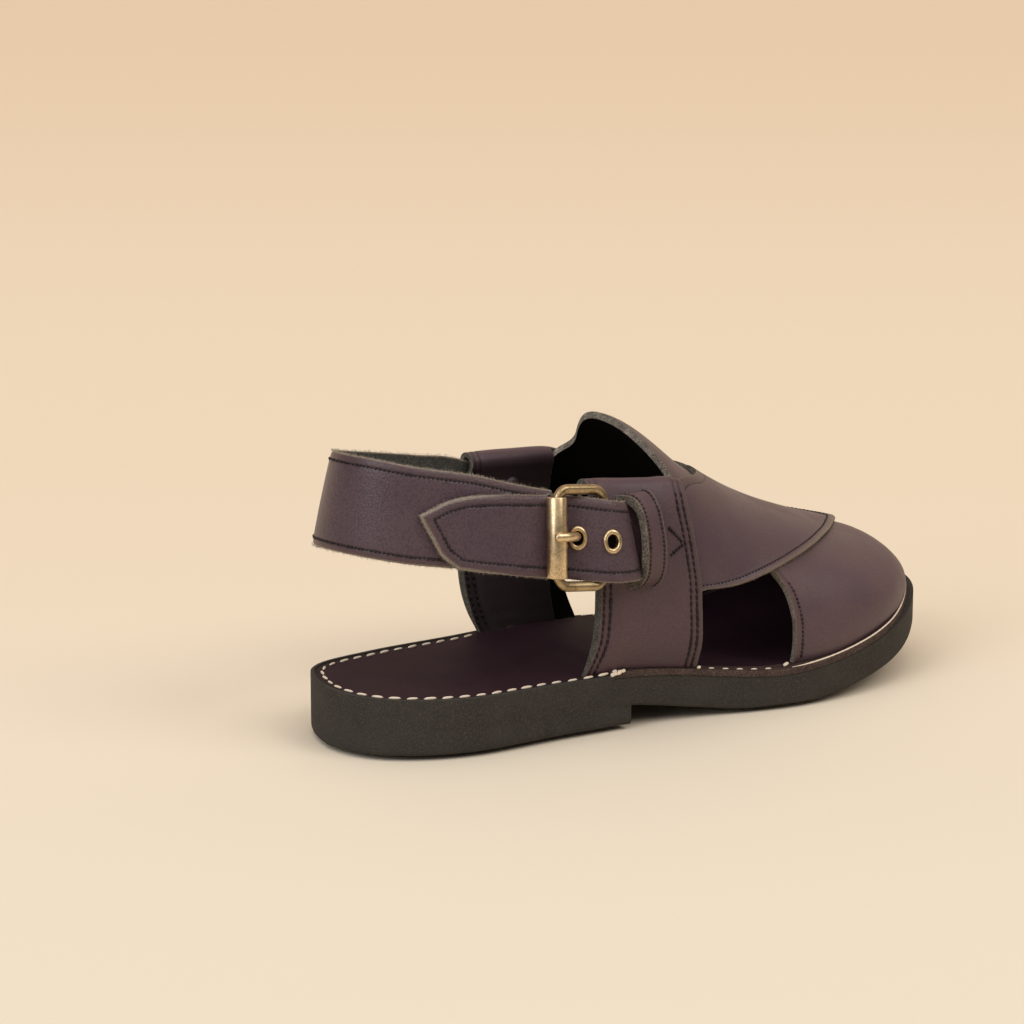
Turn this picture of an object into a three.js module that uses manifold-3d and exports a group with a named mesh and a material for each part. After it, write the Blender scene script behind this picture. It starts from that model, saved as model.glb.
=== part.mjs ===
// Right shoe of a pair of leather sandals: rubber sole, closed vamp, side windows and buckled heel strap
import * as THREE from 'three';
import Module from 'manifold-3d';

const kernel = await Module();
kernel.setup();
const { Manifold, Mesh: SolidMesh } = kernel;

// Driving sizes in millimetres: +X to the toe, +Y to the inner side of the foot, +Z up
const LENGTH = 280;
const GAP = 0.3;
const LEATHER = 2.0;
const OVERLAY_GAP = 0.45;
const WELT_THICKNESS = 2.7;
const WELT_WIDTH = 7.5;
const WELT_START = 106;
const HEEL_BREAST = 114;
const SOLE_CHAMFER = 1.6;
const INSOLE_INSET = 1.2;
const LAST_BACK = 80;
const LAST_TIP = 273.5;
const STRAP_LEAN = 12;

// Half widths of the sole at even steps of the outline angle, heel to toe
const SOLE_OUTLINE = [
  { turn: 0.0, lateral: 0, medial: 0 },
  { turn: 0.12, lateral: 25.1, medial: 28 },
  { turn: 0.25, lateral: 40.8, medial: 37 },
  { turn: 0.38, lateral: 42.5, medial: 40 },
  { turn: 0.5, lateral: 46.6, medial: 46.5 },
  { turn: 0.62, lateral: 57.1, medial: 52 },
  { turn: 0.75, lateral: 50.8, medial: 47.5 },
  { turn: 0.88, lateral: 26.4, medial: 28 },
  { turn: 1.0, lateral: 0, medial: 0 },
];

// Upper and lower face of the rubber along the foot: heel height, arch, tread and toe spring
const SOLE_TOP = [
  { x: 0, z: 22.7 },
  { x: 114, z: 19.5 },
  { x: 190, z: 12.4 },
  { x: 280, z: 30.1 },
];
const SOLE_BOTTOM = [
  { x: 0, z: 10.9 },
  { x: 100, z: 8.7 },
  { x: 118, z: 7.4 },
  { x: 142, z: 3.2 },
  { x: 166, z: 0 },
  { x: 198, z: 0 },
  { x: 238, z: 7.0 },
  { x: 280, z: 18.3 },
];

// Thickness of the insole, thinner where its edge shows at the heel
const INSOLE_RISE = [
  { x: 50, rise: 1.4 },
  { x: 92, rise: 2.7 },
];

// Sections of the last: ridge height and its offset, half widths, tuck above the sole, fullness
const LAST = [
  { x: 80, ridge: 119, shift: 2, lateral: 41.5, medial: 39.5, tuck: 25, side: 3.0, crown: 1.16 },
  { x: 110, ridge: 117.5, shift: 2, lateral: 42.5, medial: 41.5, tuck: 25, side: 3.0, crown: 1.16 },
  { x: 135, ridge: 112.2, shift: 2, lateral: 45, medial: 44, tuck: 24, side: 2.9, crown: 1.16 },
  { x: 160, ridge: 94.5, shift: 2, lateral: 48.5, medial: 46.5, tuck: 21, side: 2.6, crown: 1.14 },
  { x: 185, ridge: 77, shift: 2, lateral: 52, medial: 48.5, tuck: 17, side: 2.35, crown: 1.1 },
  { x: 210, ridge: 65, shift: 1, lateral: 53.5, medial: 48, tuck: 14, side: 2.2, crown: 1.06 },
  { x: 235, ridge: 56.3, shift: 0, lateral: 48, medial: 43.5, tuck: 12, side: 2.15, crown: 1.04 },
  { x: 255, ridge: 50.5, shift: 0, lateral: 36, medial: 34, tuck: 12, side: 2.1, crown: 1.0 },
  { x: 266, ridge: 45, shift: 0, lateral: 22.5, medial: 22.5, tuck: 12, side: 2.1, crown: 1.0 },
  { x: 273.5, ridge: 31.5, shift: 0, lateral: 0, medial: 0, tuck: 12, side: 2.1, crown: 1.0 },
];

// Cut edges of the leather by the way round the foot: 0 on the ridge, 1 at the sole
const TONGUE_EDGE = [
  { round: 0, x: 125 },
  { round: 0.1, x: 125.3 },
  { round: 0.15, x: 126 },
  { round: 0.2, x: 127.4 },
  { round: 0.25, x: 129.2 },
  { round: 0.31, x: 131.3 },
  { round: 0.4, x: 133.6 },
  { round: 0.56, x: 136 },
];
const CAP_EDGE = [
  { round: 0, x: 180 },
  { round: 0.6, x: 180 },
  { round: 0.687, x: 185.8 },
  { round: 0.764, x: 189 },
  { round: 0.84, x: 190.9 },
  { round: 1, x: 190.6 },
];
const OVERLAY_REAR = [
  { round: 0, x: 170 },
  { round: 0.134, x: 166 },
  { round: 0.307, x: 154.7 },
  { round: 0.467, x: 138.7 },
  { round: 0.57, x: 132 },
];
const OVERLAY_FRONT = [
  { round: 0, x: 246.5 },
  { round: 0.046, x: 244.5 },
  { round: 0.238, x: 228.8 },
  { round: 0.383, x: 212.6 },
  { round: 0.507, x: 196.8 },
  { round: 0.595, x: 184.3 },
  { round: 0.675, x: 172.2 },
  { round: 0.727, x: 163 },
  { round: 0.768, x: 152.4 },
  { round: 0.8, x: 137 },
];
const STRAP_RIGHT = [
  { round: 0.48, x: 135.8 },
  { round: 0.6, x: 137.2 },
  { round: 0.695, x: 140.2 },
  { round: 0.78, x: 142 },
  { round: 1, x: 143.3 },
];
const STRAP_LEFT_LATERAL = [
  { round: 0.5, x: 97.5 },
  { round: 0.7, x: 100 },
  { round: 0.86, x: 99.5 },
  { round: 0.94, x: 97.5 },
  { round: 1, x: 96 },
];
const STRAP_LEFT_MEDIAL = [
  { round: 0.5, x: 89.5 },
  { round: 0.8, x: 88.5 },
  { round: 0.9, x: 90.5 },
  { round: 1, x: 94 },
];
const FOLD_LATERAL = { round: 0.533, rear: 104, front: 131 };
const FOLD_MEDIAL = { round: 0.565, rear: 89.5, front: 128 };
const LEG_FRONT = 138;
const LEG_REAR = 101;
const LEG_TOP = 0.57;
const WINDOW_TOP = 0.6;
const WING_REAR = 104;
const WAIST_LINE = { ridge: 160, fall: 45 };

// Centre line and half width of the heel strap, from the inner side round the heel to the buckle
const HEEL_STRAP = [
  { x: 99, y: 41.6, z: 77.5, half: 13.2 },
  { x: 75, y: 40.0, z: 82.0, half: 16.6 },
  { x: 46, y: 36.5, z: 87.2, half: 17.8 },
  { x: 22, y: 28.5, z: 91.6, half: 18.8 },
  { x: 9.2, y: 16.5, z: 95.0, half: 19.2 },
  { x: 4.6, y: 0, z: 97.6, half: 19.0 },
  { x: 9.2, y: -16.5, z: 97.8, half: 19.0 },
  { x: 22, y: -28.5, z: 95.5, half: 18.9 },
  { x: 46, y: -36.6, z: 91.2, half: 18.4 },
  { x: 64, y: -39.9, z: 87.0, half: 17.2 },
  { x: 79, y: -41.8, z: 83.6, half: 16.6 },
];

// Stretch over which the inner end of the heel strap comes to lie on the leg of the upper
const HEEL_SETTLE = { from: 62, to: 84 };

// Buckle: its middle plane lies beside the outer side strap and leans with the heel strap
const BUCKLE = {
  y: -46.6,
  z: 81.5,
  middle: 87,
  pitch: 7,
  wire: 1.7,
  height: 40.4,
  bar: 98.5,
  rollerAt: 75.3,
  depth: 3.8,
  corner: 5,
};
const ROLLER = { radius: 4, bore: 2.0, length: 32 };
const EYELET = { hole: 2.5, barrel: 3.0, flange: 4.5, height: 0.9, cut: 3.3 };
const PRONG = { radius: 1.1, sleeve: 3.0, bore: 2.0, width: 3.4 };
const CHAPE = { thickness: 1.2, half: 6.6, slot: 2.2, tip: 137, point: 9, lap: 105, drop: 6.5, fall: 3 };
const KEEPER = {
  rear: 107.5,
  front: 123.5,
  low: 58,
  high: 94,
  thickness: 1.6,
  rearRise: 8.4,
  frontRise: 6.6,
  lowGain: 1.3,
  flank: 3.4,
  roundness: 0.7,
};

// Prong from the bar to its tip: place along the shoe and depth from the buckle plane
const PRONG_PATH = [
  { x: 95.6, depth: 3.2 },
  { x: 92, depth: 2.1 },
  { x: 88.6, depth: 0.5 },
  { x: 86.4, depth: 0.3 },
  { x: 84.9, depth: 1.8 },
  { x: 83.2, depth: 4.4 },
  { x: 80.6, depth: 7.6 },
  { x: 76.5, depth: 9.5 },
  { x: 72, depth: 9.2 },
];

// Buckle strap: depth of its outer face from the buckle plane, and its two edges along the shoe
const BUCKLE_STRAP_THICKNESS = 2.2;
const BUCKLE_STRAP_DEPTH = [
  { x: 74, depth: -0.6 },
  { x: 78, depth: -0.7 },
  { x: 81, depth: 0.5 },
  { x: 85, depth: 2.9 },
  { x: 90, depth: 5.9 },
  { x: 95, depth: 8.6 },
  { x: 98, depth: 9.6 },
  { x: 102, depth: 9.2 },
  { x: 106, depth: 7.2 },
  { x: 111, depth: 6.0 },
];
const BUCKLE_STRAP_EDGES = [
  { x: 27, upper: 96.5, lower: 77 },
  { x: 38, upper: 101, lower: 74.8 },
  { x: 48, upper: 101.8, lower: 72.4 },
  { x: 72, upper: 99.5, lower: 67.8 },
  { x: 98, upper: 96, lower: 64.6 },
  { x: 112, upper: 93, lower: 63 },
];
const STRAP_TIP_SLANT = 8;
const EYELET_AT = [85, 97.4];

// Colours of the materials
const PLUM = { color: 0x3a2227, roughness: 0.62, metalness: 0 };
const DARK_LINING = { color: 0x2a1b1e, roughness: 0.8, metalness: 0 };
const BROWN_EDGE = { color: 0x6b4630, roughness: 0.85, metalness: 0 };
const RUBBER = { color: 0x17171a, roughness: 0.9, metalness: 0 };
const BRASS = { color: 0x8a6a35, roughness: 0.4, metalness: 1 };

// Smooth curve through the rows of a table
function curve(table, key, column) {
  const at = table.map((row) => row[key]);
  const value = table.map((row) => row[column]);
  const last = at.length - 1;
  const slope = at.map((_, i) => {
    const a = Math.max(i - 1, 0);
    const b = Math.min(i + 1, last);
    return (value[b] - value[a]) / (at[b] - at[a]);
  });
  return (where) => {
    const w = Math.min(Math.max(where, at[0]), at[last]);
    let i = 0;
    while (i < last - 1 && w > at[i + 1]) i += 1;
    const span = at[i + 1] - at[i];
    const f = (w - at[i]) / span;
    const g = 1 - f;
    const start = g * g * (1 + 2 * f) * value[i] + g * g * f * span * slope[i];
    const end = f * f * (3 - 2 * f) * value[i + 1] - f * f * g * span * slope[i + 1];
    return start + end;
  };
}

// Closed solid from triangles: near-equal corners are joined and the faces turned outward
function solid(triangles) {
  const points = [];
  const known = new Map();
  const corner = (p) => {
    const key = p.map((c) => Math.round(c * 2000)).join(' ');
    if (!known.has(key)) {
      known.set(key, points.length);
      points.push(p);
    }
    return known.get(key);
  };
  const faces = [];
  for (const triangle of triangles) {
    const [a, b, c] = triangle.map(corner);
    if (a !== b && b !== c && c !== a) faces.push([a, b, c]);
  }
  let volume = 0;
  for (const [a, b, c] of faces) {
    const p = new THREE.Vector3(...points[a]);
    const q = new THREE.Vector3(...points[b]);
    const r = new THREE.Vector3(...points[c]);
    volume += p.dot(q.cross(r));
  }
  const index = faces.flatMap(([a, b, c]) => (volume > 0 ? [a, b, c] : [a, c, b]));
  const geometry = new THREE.BufferGeometry();
  geometry.setAttribute('position', new THREE.Float32BufferAttribute(points.flat(), 3));
  geometry.setIndex(index);
  return geometry;
}

const quad = (a, b, c, d) => [[a, b, c], [a, c, d]];

// Sheet of leather on a grid: place gives both faces at a grid point, keep says which cells are cut away
function sheet(rows, columns, place, keep = () => true) {
  const inside = (i, j) => i >= 0 && j >= 0 && i < rows && j < columns && keep(i, j);
  const grid = [];
  for (let i = 0; i <= rows; i += 1) {
    grid.push([]);
    for (let j = 0; j <= columns; j += 1) grid[i].push(place(i, j));
  }
  const triangles = [];
  const wall = (a, b) => triangles.push(...quad(a.outer, a.inner, b.inner, b.outer));
  for (let i = 0; i < rows; i += 1) {
    for (let j = 0; j < columns; j += 1) {
      if (!inside(i, j)) continue;
      const a = grid[i][j];
      const b = grid[i + 1][j];
      const c = grid[i + 1][j + 1];
      const d = grid[i][j + 1];
      triangles.push(...quad(a.outer, b.outer, c.outer, d.outer));
      triangles.push(...quad(d.inner, c.inner, b.inner, a.inner));
      if (!inside(i, j - 1)) wall(a, b);
      if (!inside(i + 1, j)) wall(b, c);
      if (!inside(i, j + 1)) wall(c, d);
      if (!inside(i - 1, j)) wall(d, a);
    }
  }
  return solid(triangles);
}

// Solid through rings with the same number of corners; an end ring with no area needs no cap
function loft(rings) {
  const triangles = [];
  const count = rings[0].length;
  for (let i = 0; i + 1 < rings.length; i += 1) {
    for (let j = 0; j < count; j += 1) {
      const k = (j + 1) % count;
      triangles.push(...quad(rings[i][j], rings[i + 1][j], rings[i + 1][k], rings[i][k]));
    }
  }
  const area = (ring) => {
    const total = new THREE.Vector3();
    for (let j = 0; j < count; j += 1) {
      const p = new THREE.Vector3(...ring[j]);
      total.add(p.cross(new THREE.Vector3(...ring[(j + 1) % count])));
    }
    return total.length() / 2;
  };
  const first = rings[0];
  const final = rings[rings.length - 1];
  for (let j = 1; j + 1 < count; j += 1) {
    if (area(first) > 0.01) triangles.push([first[0], first[j], first[j + 1]]);
    if (area(final) > 0.01) triangles.push([final[0], final[j + 1], final[j]]);
  }
  return solid(triangles);
}

// Solid kernel: hand a geometry over, and take a result back
function toSolid(geometry) {
  const flat = geometry.index ? geometry.toNonIndexed() : geometry;
  const position = flat.getAttribute('position');
  const triangles = [];
  for (let i = 0; i < position.count; i += 3) {
    const at = (k) => [position.getX(i + k), position.getY(i + k), position.getZ(i + k)];
    triangles.push([at(0), at(1), at(2)]);
  }
  const clean = solid(triangles);
  return Manifold.ofMesh(new SolidMesh({
    numProp: 3,
    vertProperties: Float32Array.from(clean.getAttribute('position').array),
    triVerts: Uint32Array.from(clean.index.array),
  }));
}

function toGeometry(body) {
  const mesh = body.getMesh();
  const triangles = [];
  const at = (k) => Array.from(mesh.vertProperties.subarray(k * mesh.numProp, k * mesh.numProp + 3));
  for (let i = 0; i < mesh.triVerts.length; i += 3) {
    triangles.push([at(mesh.triVerts[i]), at(mesh.triVerts[i + 1]), at(mesh.triVerts[i + 2])]);
  }
  return solid(triangles);
}

// Sole: outline by turn, walked from the heel along the outer side to the toe and back along the inner side
const soleLateral = curve(SOLE_OUTLINE, 'turn', 'lateral');
const soleMedial = curve(SOLE_OUTLINE, 'turn', 'medial');
const soleTop = curve(SOLE_TOP, 'x', 'z');
const soleBottomCurve = curve(SOLE_BOTTOM, 'x', 'z');
const soleBottom = (x) => Math.max(0, soleBottomCurve(x));
const soleX = (turn) => LENGTH * (1 - Math.cos(Math.PI * turn)) / 2;
const soleTurn = (x) => Math.acos(1 - 2 * x / LENGTH) / Math.PI;

function soleEdge(walk) {
  const turn = 1 - Math.abs(walk);
  const y = walk < 0 ? -soleLateral(turn) : soleMedial(turn);
  return new THREE.Vector2(soleX(turn), y);
}

function insetEdge(walk, inset) {
  const step = 0.004;
  const before = soleEdge(Math.max(walk - step, -1));
  const after = soleEdge(Math.min(walk + step, 1));
  const along = after.sub(before).normalize();
  const outward = new THREE.Vector2(along.y, -along.x);
  return soleEdge(walk).addScaledVector(outward, -inset);
}

function soleBlock(fromTurn, toTurn, steps, low, high) {
  const rings = [];
  for (let i = 0; i <= steps; i += 1) {
    const turn = fromTurn + (toTurn - fromTurn) * i / steps;
    const x = soleX(turn);
    const left = soleLateral(turn);
    const right = soleMedial(turn);
    const cut = Math.min(SOLE_CHAMFER, left / 2, right / 2);
    rings.push([
      [x, -left, low(x) + SOLE_CHAMFER],
      [x, -left + cut, low(x)],
      [x, right - cut, low(x)],
      [x, right, low(x) + SOLE_CHAMFER],
      [x, right, high(x)],
      [x, -left, high(x)],
    ]);
  }
  return loft(rings);
}

function buildOutsole() {
  return soleBlock(0, 1, 48, soleBottom, soleTop);
}

function buildHeelLift() {
  return soleBlock(0, soleTurn(HEEL_BREAST), 20, () => 0, (x) => soleBottom(x) - GAP);
}

function buildWelt() {
  const reach = 1 - soleTurn(WELT_START);
  const steps = 48;
  const rings = [];
  for (let i = 0; i <= steps; i += 1) {
    const walk = reach * (2 * i / steps - 1);
    const rim = insetEdge(walk, 0.5);
    const inner = insetEdge(walk, WELT_WIDTH);
    const low = (p) => [p.x, p.y, soleTop(p.x) + GAP];
    const high = (p) => [p.x, p.y, soleTop(p.x) + GAP + WELT_THICKNESS];
    rings.push([low(rim), low(inner), high(inner), high(rim)]);
  }
  return loft(rings);
}

function buildInsole() {
  const heelInset = INSOLE_INSET;
  const foreInset = WELT_WIDTH + 0.4;
  const ramp = curve(INSOLE_RISE, 'x', 'rise');
  const rows = [];
  const step = soleTurn(WELT_START - 2);
  const fore = soleTurn(WELT_START - 0.5);
  const tip = 0.955;
  for (let i = 0; i <= 22; i += 1) rows.push({ turn: step * i / 22, inset: heelInset });
  for (let i = 0; i <= 24; i += 1) rows.push({ turn: fore + (tip - fore) * i / 24, inset: foreInset });
  const rings = rows.map(({ turn, inset }) => {
    const trim = Math.min(1, turn / 0.02) * inset;
    const left = insetEdge(turn - 1, trim);
    const right = insetEdge(1 - turn, trim);
    const start = turn === 0 ? heelInset : 0;
    const low = (p) => [p.x + start, p.y, soleTop(p.x) + GAP];
    const high = (p) => [p.x + start, p.y, soleTop(p.x) + GAP + ramp(p.x)];
    return [low(left), low(right), high(right), high(left)];
  });
  return loft(rings);
}

// Last: a point on the foot form at a turn of its length and a way round (negative is the outer side)
const lastTurn = (x) => Math.asin(Math.min(1, (x - LAST_BACK) / (LAST_TIP - LAST_BACK))) * 2 / Math.PI;
const lastX = (turn) => LAST_BACK + (LAST_TIP - LAST_BACK) * Math.sin(Math.PI / 2 * turn);
const seat = (x) => soleTop(x) + WELT_THICKNESS + 2 * GAP;
const LAST_ROWS = LAST.map((row) => ({
  ...row,
  turn: lastTurn(row.x),
  rise: row.lateral > 0 ? row.ridge - seat(row.x) : 0,
}));
const lastColumn = (name) => curve(LAST_ROWS, 'turn', name);
const lastRise = lastColumn('rise');
const lastShift = lastColumn('shift');
const lastLateral = lastColumn('lateral');
const lastMedial = lastColumn('medial');
const lastTuck = lastColumn('tuck');
const lastSide = lastColumn('side');
const lastCrown = lastColumn('crown');

function lastPoint(turn, way) {
  const x = lastX(turn);
  const round = Math.abs(way);
  const half = way < 0 ? lastLateral(turn) : lastMedial(turn);
  const tuck = THREE.MathUtils.degToRad(lastTuck(turn));
  const power = 2 / lastSide(turn);
  const angle = -tuck + (Math.PI / 2 + tuck) * (1 - round);
  const below = Math.sin(tuck) ** power;
  const rise = lastRise(turn);
  const level = seat(x) + rise * below / (1 + below);
  const up = rise / (1 + below);
  const sine = Math.sin(angle);
  const reach = Math.sign(way) * half * Math.abs(Math.cos(angle)) ** lastCrown(turn);
  const y = lastShift(turn) * (1 - round * round) + reach;
  const z = level + up * Math.sign(sine) * Math.abs(sine) ** power;
  return new THREE.Vector3(x, y, z);
}

function lastNormal(turn, way) {
  const step = 0.004;
  const t = Math.min(turn, 0.985);
  const along = lastPoint(t + step, way).sub(lastPoint(Math.max(t - step, 0), way));
  const around = lastPoint(t, Math.min(way + step, 1)).sub(lastPoint(t, Math.max(way - step, -1)));
  const out = around.cross(along).negate();
  const level = 1 - Math.abs(way) ** 10;
  out.z *= level;
  if (turn > 0.985) out.z *= (1 - turn) / 0.015;
  return out.normalize();
}

function lastOffset(x, way, offset) {
  const turn = lastTurn(x);
  const p = lastPoint(turn, way).addScaledVector(lastNormal(turn, way), offset);
  p.z += (seat(p.x) - seat(x)) * Math.abs(way) ** 10;
  return p.toArray();
}

// Way round the last at a height, on one side
function wayAtHeight(x, z, side) {
  let low = 0;
  let high = 1;
  for (let i = 0; i < 40; i += 1) {
    const middle = (low + high) / 2;
    if (lastPoint(lastTurn(x), side * middle).z > z) low = middle;
    else high = middle;
  }
  return side * (low + high) / 2;
}

const both = (half) => [...half.slice(1).reverse().map((v) => -v), ...half];
const between = (from, to, i, steps) => from + (to - from) * i / steps;

// Upper: toe cap, tongue and the legs under the side straps in one shell, open at windows, back and sole
function buildUpper() {
  const half = [0, 0.07, 0.14, 0.2, 0.26, 0.32, 0.38, 0.44, 0.5, LEG_TOP, WINDOW_TOP,
    0.64, 0.69, 0.75, 0.8, 0.86, 0.93, 1];
  const ways = both(half);
  const tongue = curve(TONGUE_EDGE, 'round', 'x');
  const cap = curve(CAP_EDGE, 'round', 'x');
  const zones = [4, 4, 5, 10];
  const starts = zones.map((_, k) => zones.slice(0, k).reduce((a, b) => a + b, 0));
  const rows = starts[3] + zones[3];
  const lengthAt = (i, round) => {
    const front = Math.max(LEG_FRONT, WAIST_LINE.ridge - WAIST_LINE.fall * round);
    if (i < starts[1]) return between(LEG_REAR, tongue(round), i, zones[0]);
    if (i < starts[2]) return between(tongue(round), front, i - starts[1], zones[1]);
    if (i < starts[3]) return between(front, cap(round), i - starts[2], zones[2]);
    return lastX(between(lastTurn(cap(round)), 1, i - starts[3], zones[3]));
  };
  const place = (i, j) => {
    const way = ways[j];
    const x = lengthAt(i, Math.abs(way));
    if (i === rows) {
      const tip = lastPoint(1, 0);
      const front = tip.x + LEATHER;
      return { inner: tip.toArray(), outer: [front, tip.y, seat(front)] };
    }
    return { inner: lastOffset(x, way, 0), outer: lastOffset(x, way, LEATHER) };
  };
  const keep = (i, j) => {
    const round = Math.abs(ways[j] + ways[j + 1]) / 2;
    if (i < starts[1]) return round > LEG_TOP;
    if (i >= starts[2] && i < starts[3]) return round < WINDOW_TOP;
    return true;
  };
  return sheet(rows, ways.length - 1, place, keep);
}

// Overlay: the saddle over the instep, its wings running back under the side straps
function buildOverlay() {
  const half = [0, 0.06, 0.12, 0.18, 0.24, 0.3, 0.36, 0.42, 0.47, 0.52, LEG_TOP,
    0.62, 0.67, 0.72, 0.76, 0.8];
  const ways = both(half);
  const rear = curve(OVERLAY_REAR, 'round', 'x');
  const front = curve(OVERLAY_FRONT, 'round', 'x');
  const wing = 3;
  const rows = wing + 10;
  const low = LEATHER + OVERLAY_GAP;
  const place = (i, j) => {
    const round = Math.abs(ways[j]);
    const start = rear(round);
    const body = between(start, front(round), i - wing, rows - wing);
    const x = i < wing ? between(WING_REAR, start, i, wing) : body;
    return { inner: lastOffset(x, ways[j], low), outer: lastOffset(x, ways[j], low + LEATHER) };
  };
  const keep = (i, j) => i >= wing || Math.abs(ways[j] + ways[j + 1]) / 2 > LEG_TOP;
  return sheet(rows, ways.length - 1, place, keep);
}

// Side strap: up the outside from the sole, folded over the top of the leg and down the inside
function buildSideStrap(side, fold, left, right) {
  const middle = LEATHER + GAP / 2;
  const near = middle + GAP * 1.5;
  const far = near + LEATHER;
  const rise = 10;
  const turn = 5;
  const drop = 6;
  const columnsFold = 6;
  const columns = columnsFold + 2;
  const place = (i, j) => {
    const outside = i <= rise;
    const down = Math.max(0, i - rise - turn);
    const round = outside ? between(1, fold.round, i, rise) : between(fold.round, 1, down, drop);
    const shift = fold.rear - left(fold.round);
    const start = left(round) + shift * THREE.MathUtils.smoothstep(i, rise, rise + turn);
    const x = j <= columnsFold ? between(start, fold.front, j, columnsFold)
      : between(fold.front, right(round), j - columnsFold, columns - columnsFold);
    const layer = (one, two) => ({
      inner: lastOffset(x, side * round, one),
      outer: lastOffset(x, side * round, two),
    });
    if (outside) return layer(middle + near, middle + far);
    if (i >= rise + turn) return layer(middle - near, middle - far);
    const angle = Math.PI * (i - rise) / turn;
    const centre = new THREE.Vector3(...lastOffset(x, side * fold.round, middle));
    const out = lastNormal(lastTurn(x), side * fold.round);
    const above = lastPoint(lastTurn(x), side * (fold.round - 0.01));
    const up = above.sub(lastPoint(lastTurn(x), side * (fold.round + 0.01))).normalize();
    const at = (radius) => centre.clone()
      .addScaledVector(out, radius * Math.cos(angle))
      .addScaledVector(up, radius * Math.sin(angle))
      .toArray();
    return { inner: at(near), outer: at(far) };
  };
  const keep = (i, j) => i < rise || j < columnsFold;
  return sheet(rise + turn + drop, columns, place, keep);
}

// Heel strap: a band that leans in at its upper edge
const lean = THREE.MathUtils.degToRad(STRAP_LEAN);
const heelPoints = HEEL_STRAP.map((row) => new THREE.Vector3(row.x, row.y, row.z));
const heelLine = new THREE.CatmullRomCurve3(heelPoints);
const heelRows = HEEL_STRAP.map((row, i) => ({ part: i / (HEEL_STRAP.length - 1), half: row.half }));
const heelHalf = curve(heelRows, 'part', 'half');

function heelFrame(part) {
  const step = 0.004;
  const before = heelLine.getPoint(Math.max(part - step, 0));
  const after = heelLine.getPoint(Math.min(part + step, 1));
  const along = after.sub(before).setZ(0).normalize();
  const level = new THREE.Vector3(-along.y, along.x, 0);
  const up = new THREE.Vector3(0, 0, Math.cos(lean)).addScaledVector(level, Math.sin(lean));
  const out = level.clone().multiplyScalar(-Math.cos(lean)).add(new THREE.Vector3(0, 0, Math.sin(lean)));
  return { centre: heelLine.getPoint(part), up, out };
}

function buildHeelStrap() {
  const steps = 36;
  const across = 4;
  const place = (i, j) => {
    const part = i / steps;
    const { centre, up, out } = heelFrame(part);
    const height = heelHalf(part) * (2 * j / across - 1);
    const point = centre.clone().addScaledVector(up, height);
    const at = (offset) => point.clone().addScaledVector(out, offset).toArray();
    const free = { inner: at(-LEATHER / 2), outer: at(LEATHER / 2) };
    if (point.y < 0 || point.x < HEEL_SETTLE.from) return free;
    const settle = THREE.MathUtils.smoothstep(point.x, HEEL_SETTLE.from, HEEL_SETTLE.to);
    const x = Math.max(point.x, LAST_BACK);
    const way = wayAtHeight(x, point.z - 0.5, 1);
    const blend = (loose, offset) => {
      const seated = lastOffset(x, way, offset);
      seated[0] += point.x - x;
      return loose.map((c, k) => c + (seated[k] - c) * settle);
    };
    return { inner: blend(free.inner, LEATHER + GAP), outer: blend(free.outer, 2 * LEATHER + GAP) };
  };
  return sheet(steps, across, place);
}

// Buckle plane: along the shoe, up along the lean, and out
const buckleUp = new THREE.Vector3(0, Math.sin(lean), Math.cos(lean));
const buckleOut = new THREE.Vector3(0, -Math.cos(lean), Math.sin(lean));

function bucklePoint(x, height, depth) {
  return new THREE.Vector3(x, BUCKLE.y, BUCKLE.z)
    .addScaledVector(buckleUp, height)
    .addScaledVector(buckleOut, depth);
}

// Metal of the buckle: turned in that plane to stand square to the falling strap
const pitch = THREE.MathUtils.degToRad(BUCKLE.pitch);
const metalAlong = new THREE.Vector3(Math.cos(pitch), 0, 0).addScaledVector(buckleUp, -Math.sin(pitch));
const metalUp = new THREE.Vector3(Math.sin(pitch), 0, 0).addScaledVector(buckleUp, Math.cos(pitch));

function metalPoint(x, height, depth) {
  return bucklePoint(BUCKLE.middle, 0, depth)
    .addScaledVector(metalAlong, x - BUCKLE.middle)
    .addScaledVector(metalUp, height);
}

// Buckle strap: sewn on the heel strap at its pointed end, then under the roller and over the bar
const strapDepth = curve(BUCKLE_STRAP_DEPTH, 'x', 'depth');
const strapUpper = curve(BUCKLE_STRAP_EDGES, 'x', 'upper');
const strapLower = curve(BUCKLE_STRAP_EDGES, 'x', 'lower');

function heelPartAt(x) {
  let low = 0.55;
  let high = 1;
  for (let i = 0; i < 40; i += 1) {
    const middle = (low + high) / 2;
    if (heelLine.getPoint(middle).x < x) low = middle;
    else high = middle;
  }
  return (low + high) / 2;
}

function strapCentre(x) {
  const offset = LEATHER / 2 + GAP + BUCKLE_STRAP_THICKNESS / 2;
  const joined = BUCKLE_STRAP_DEPTH[0].x;
  const onHeel = (at) => {
    const { centre, out } = heelFrame(heelPartAt(at));
    return centre.addScaledVector(out, offset);
  };
  const onBuckle = (at) => bucklePoint(at, 0, strapDepth(at) - BUCKLE_STRAP_THICKNESS / 2);
  if (x >= joined) return onBuckle(x);
  const loose = onHeel(x);
  const target = onBuckle(joined);
  const end = onHeel(joined);
  const shift = target.sub(end).dot(buckleOut);
  return loose.addScaledVector(buckleOut, shift * THREE.MathUtils.smoothstep(x, 50, joined));
}

function strapFrame(x) {
  const along = strapCentre(x + 0.4).sub(strapCentre(x - 0.4));
  along.setZ(0).normalize();
  const level = new THREE.Vector3(-along.y, along.x, 0);
  const up = new THREE.Vector3(0, 0, Math.cos(lean)).addScaledVector(level, Math.sin(lean));
  const out = level.clone().multiplyScalar(-Math.cos(lean)).add(new THREE.Vector3(0, 0, Math.sin(lean)));
  return { centre: strapCentre(x), along, up, out };
}

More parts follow.
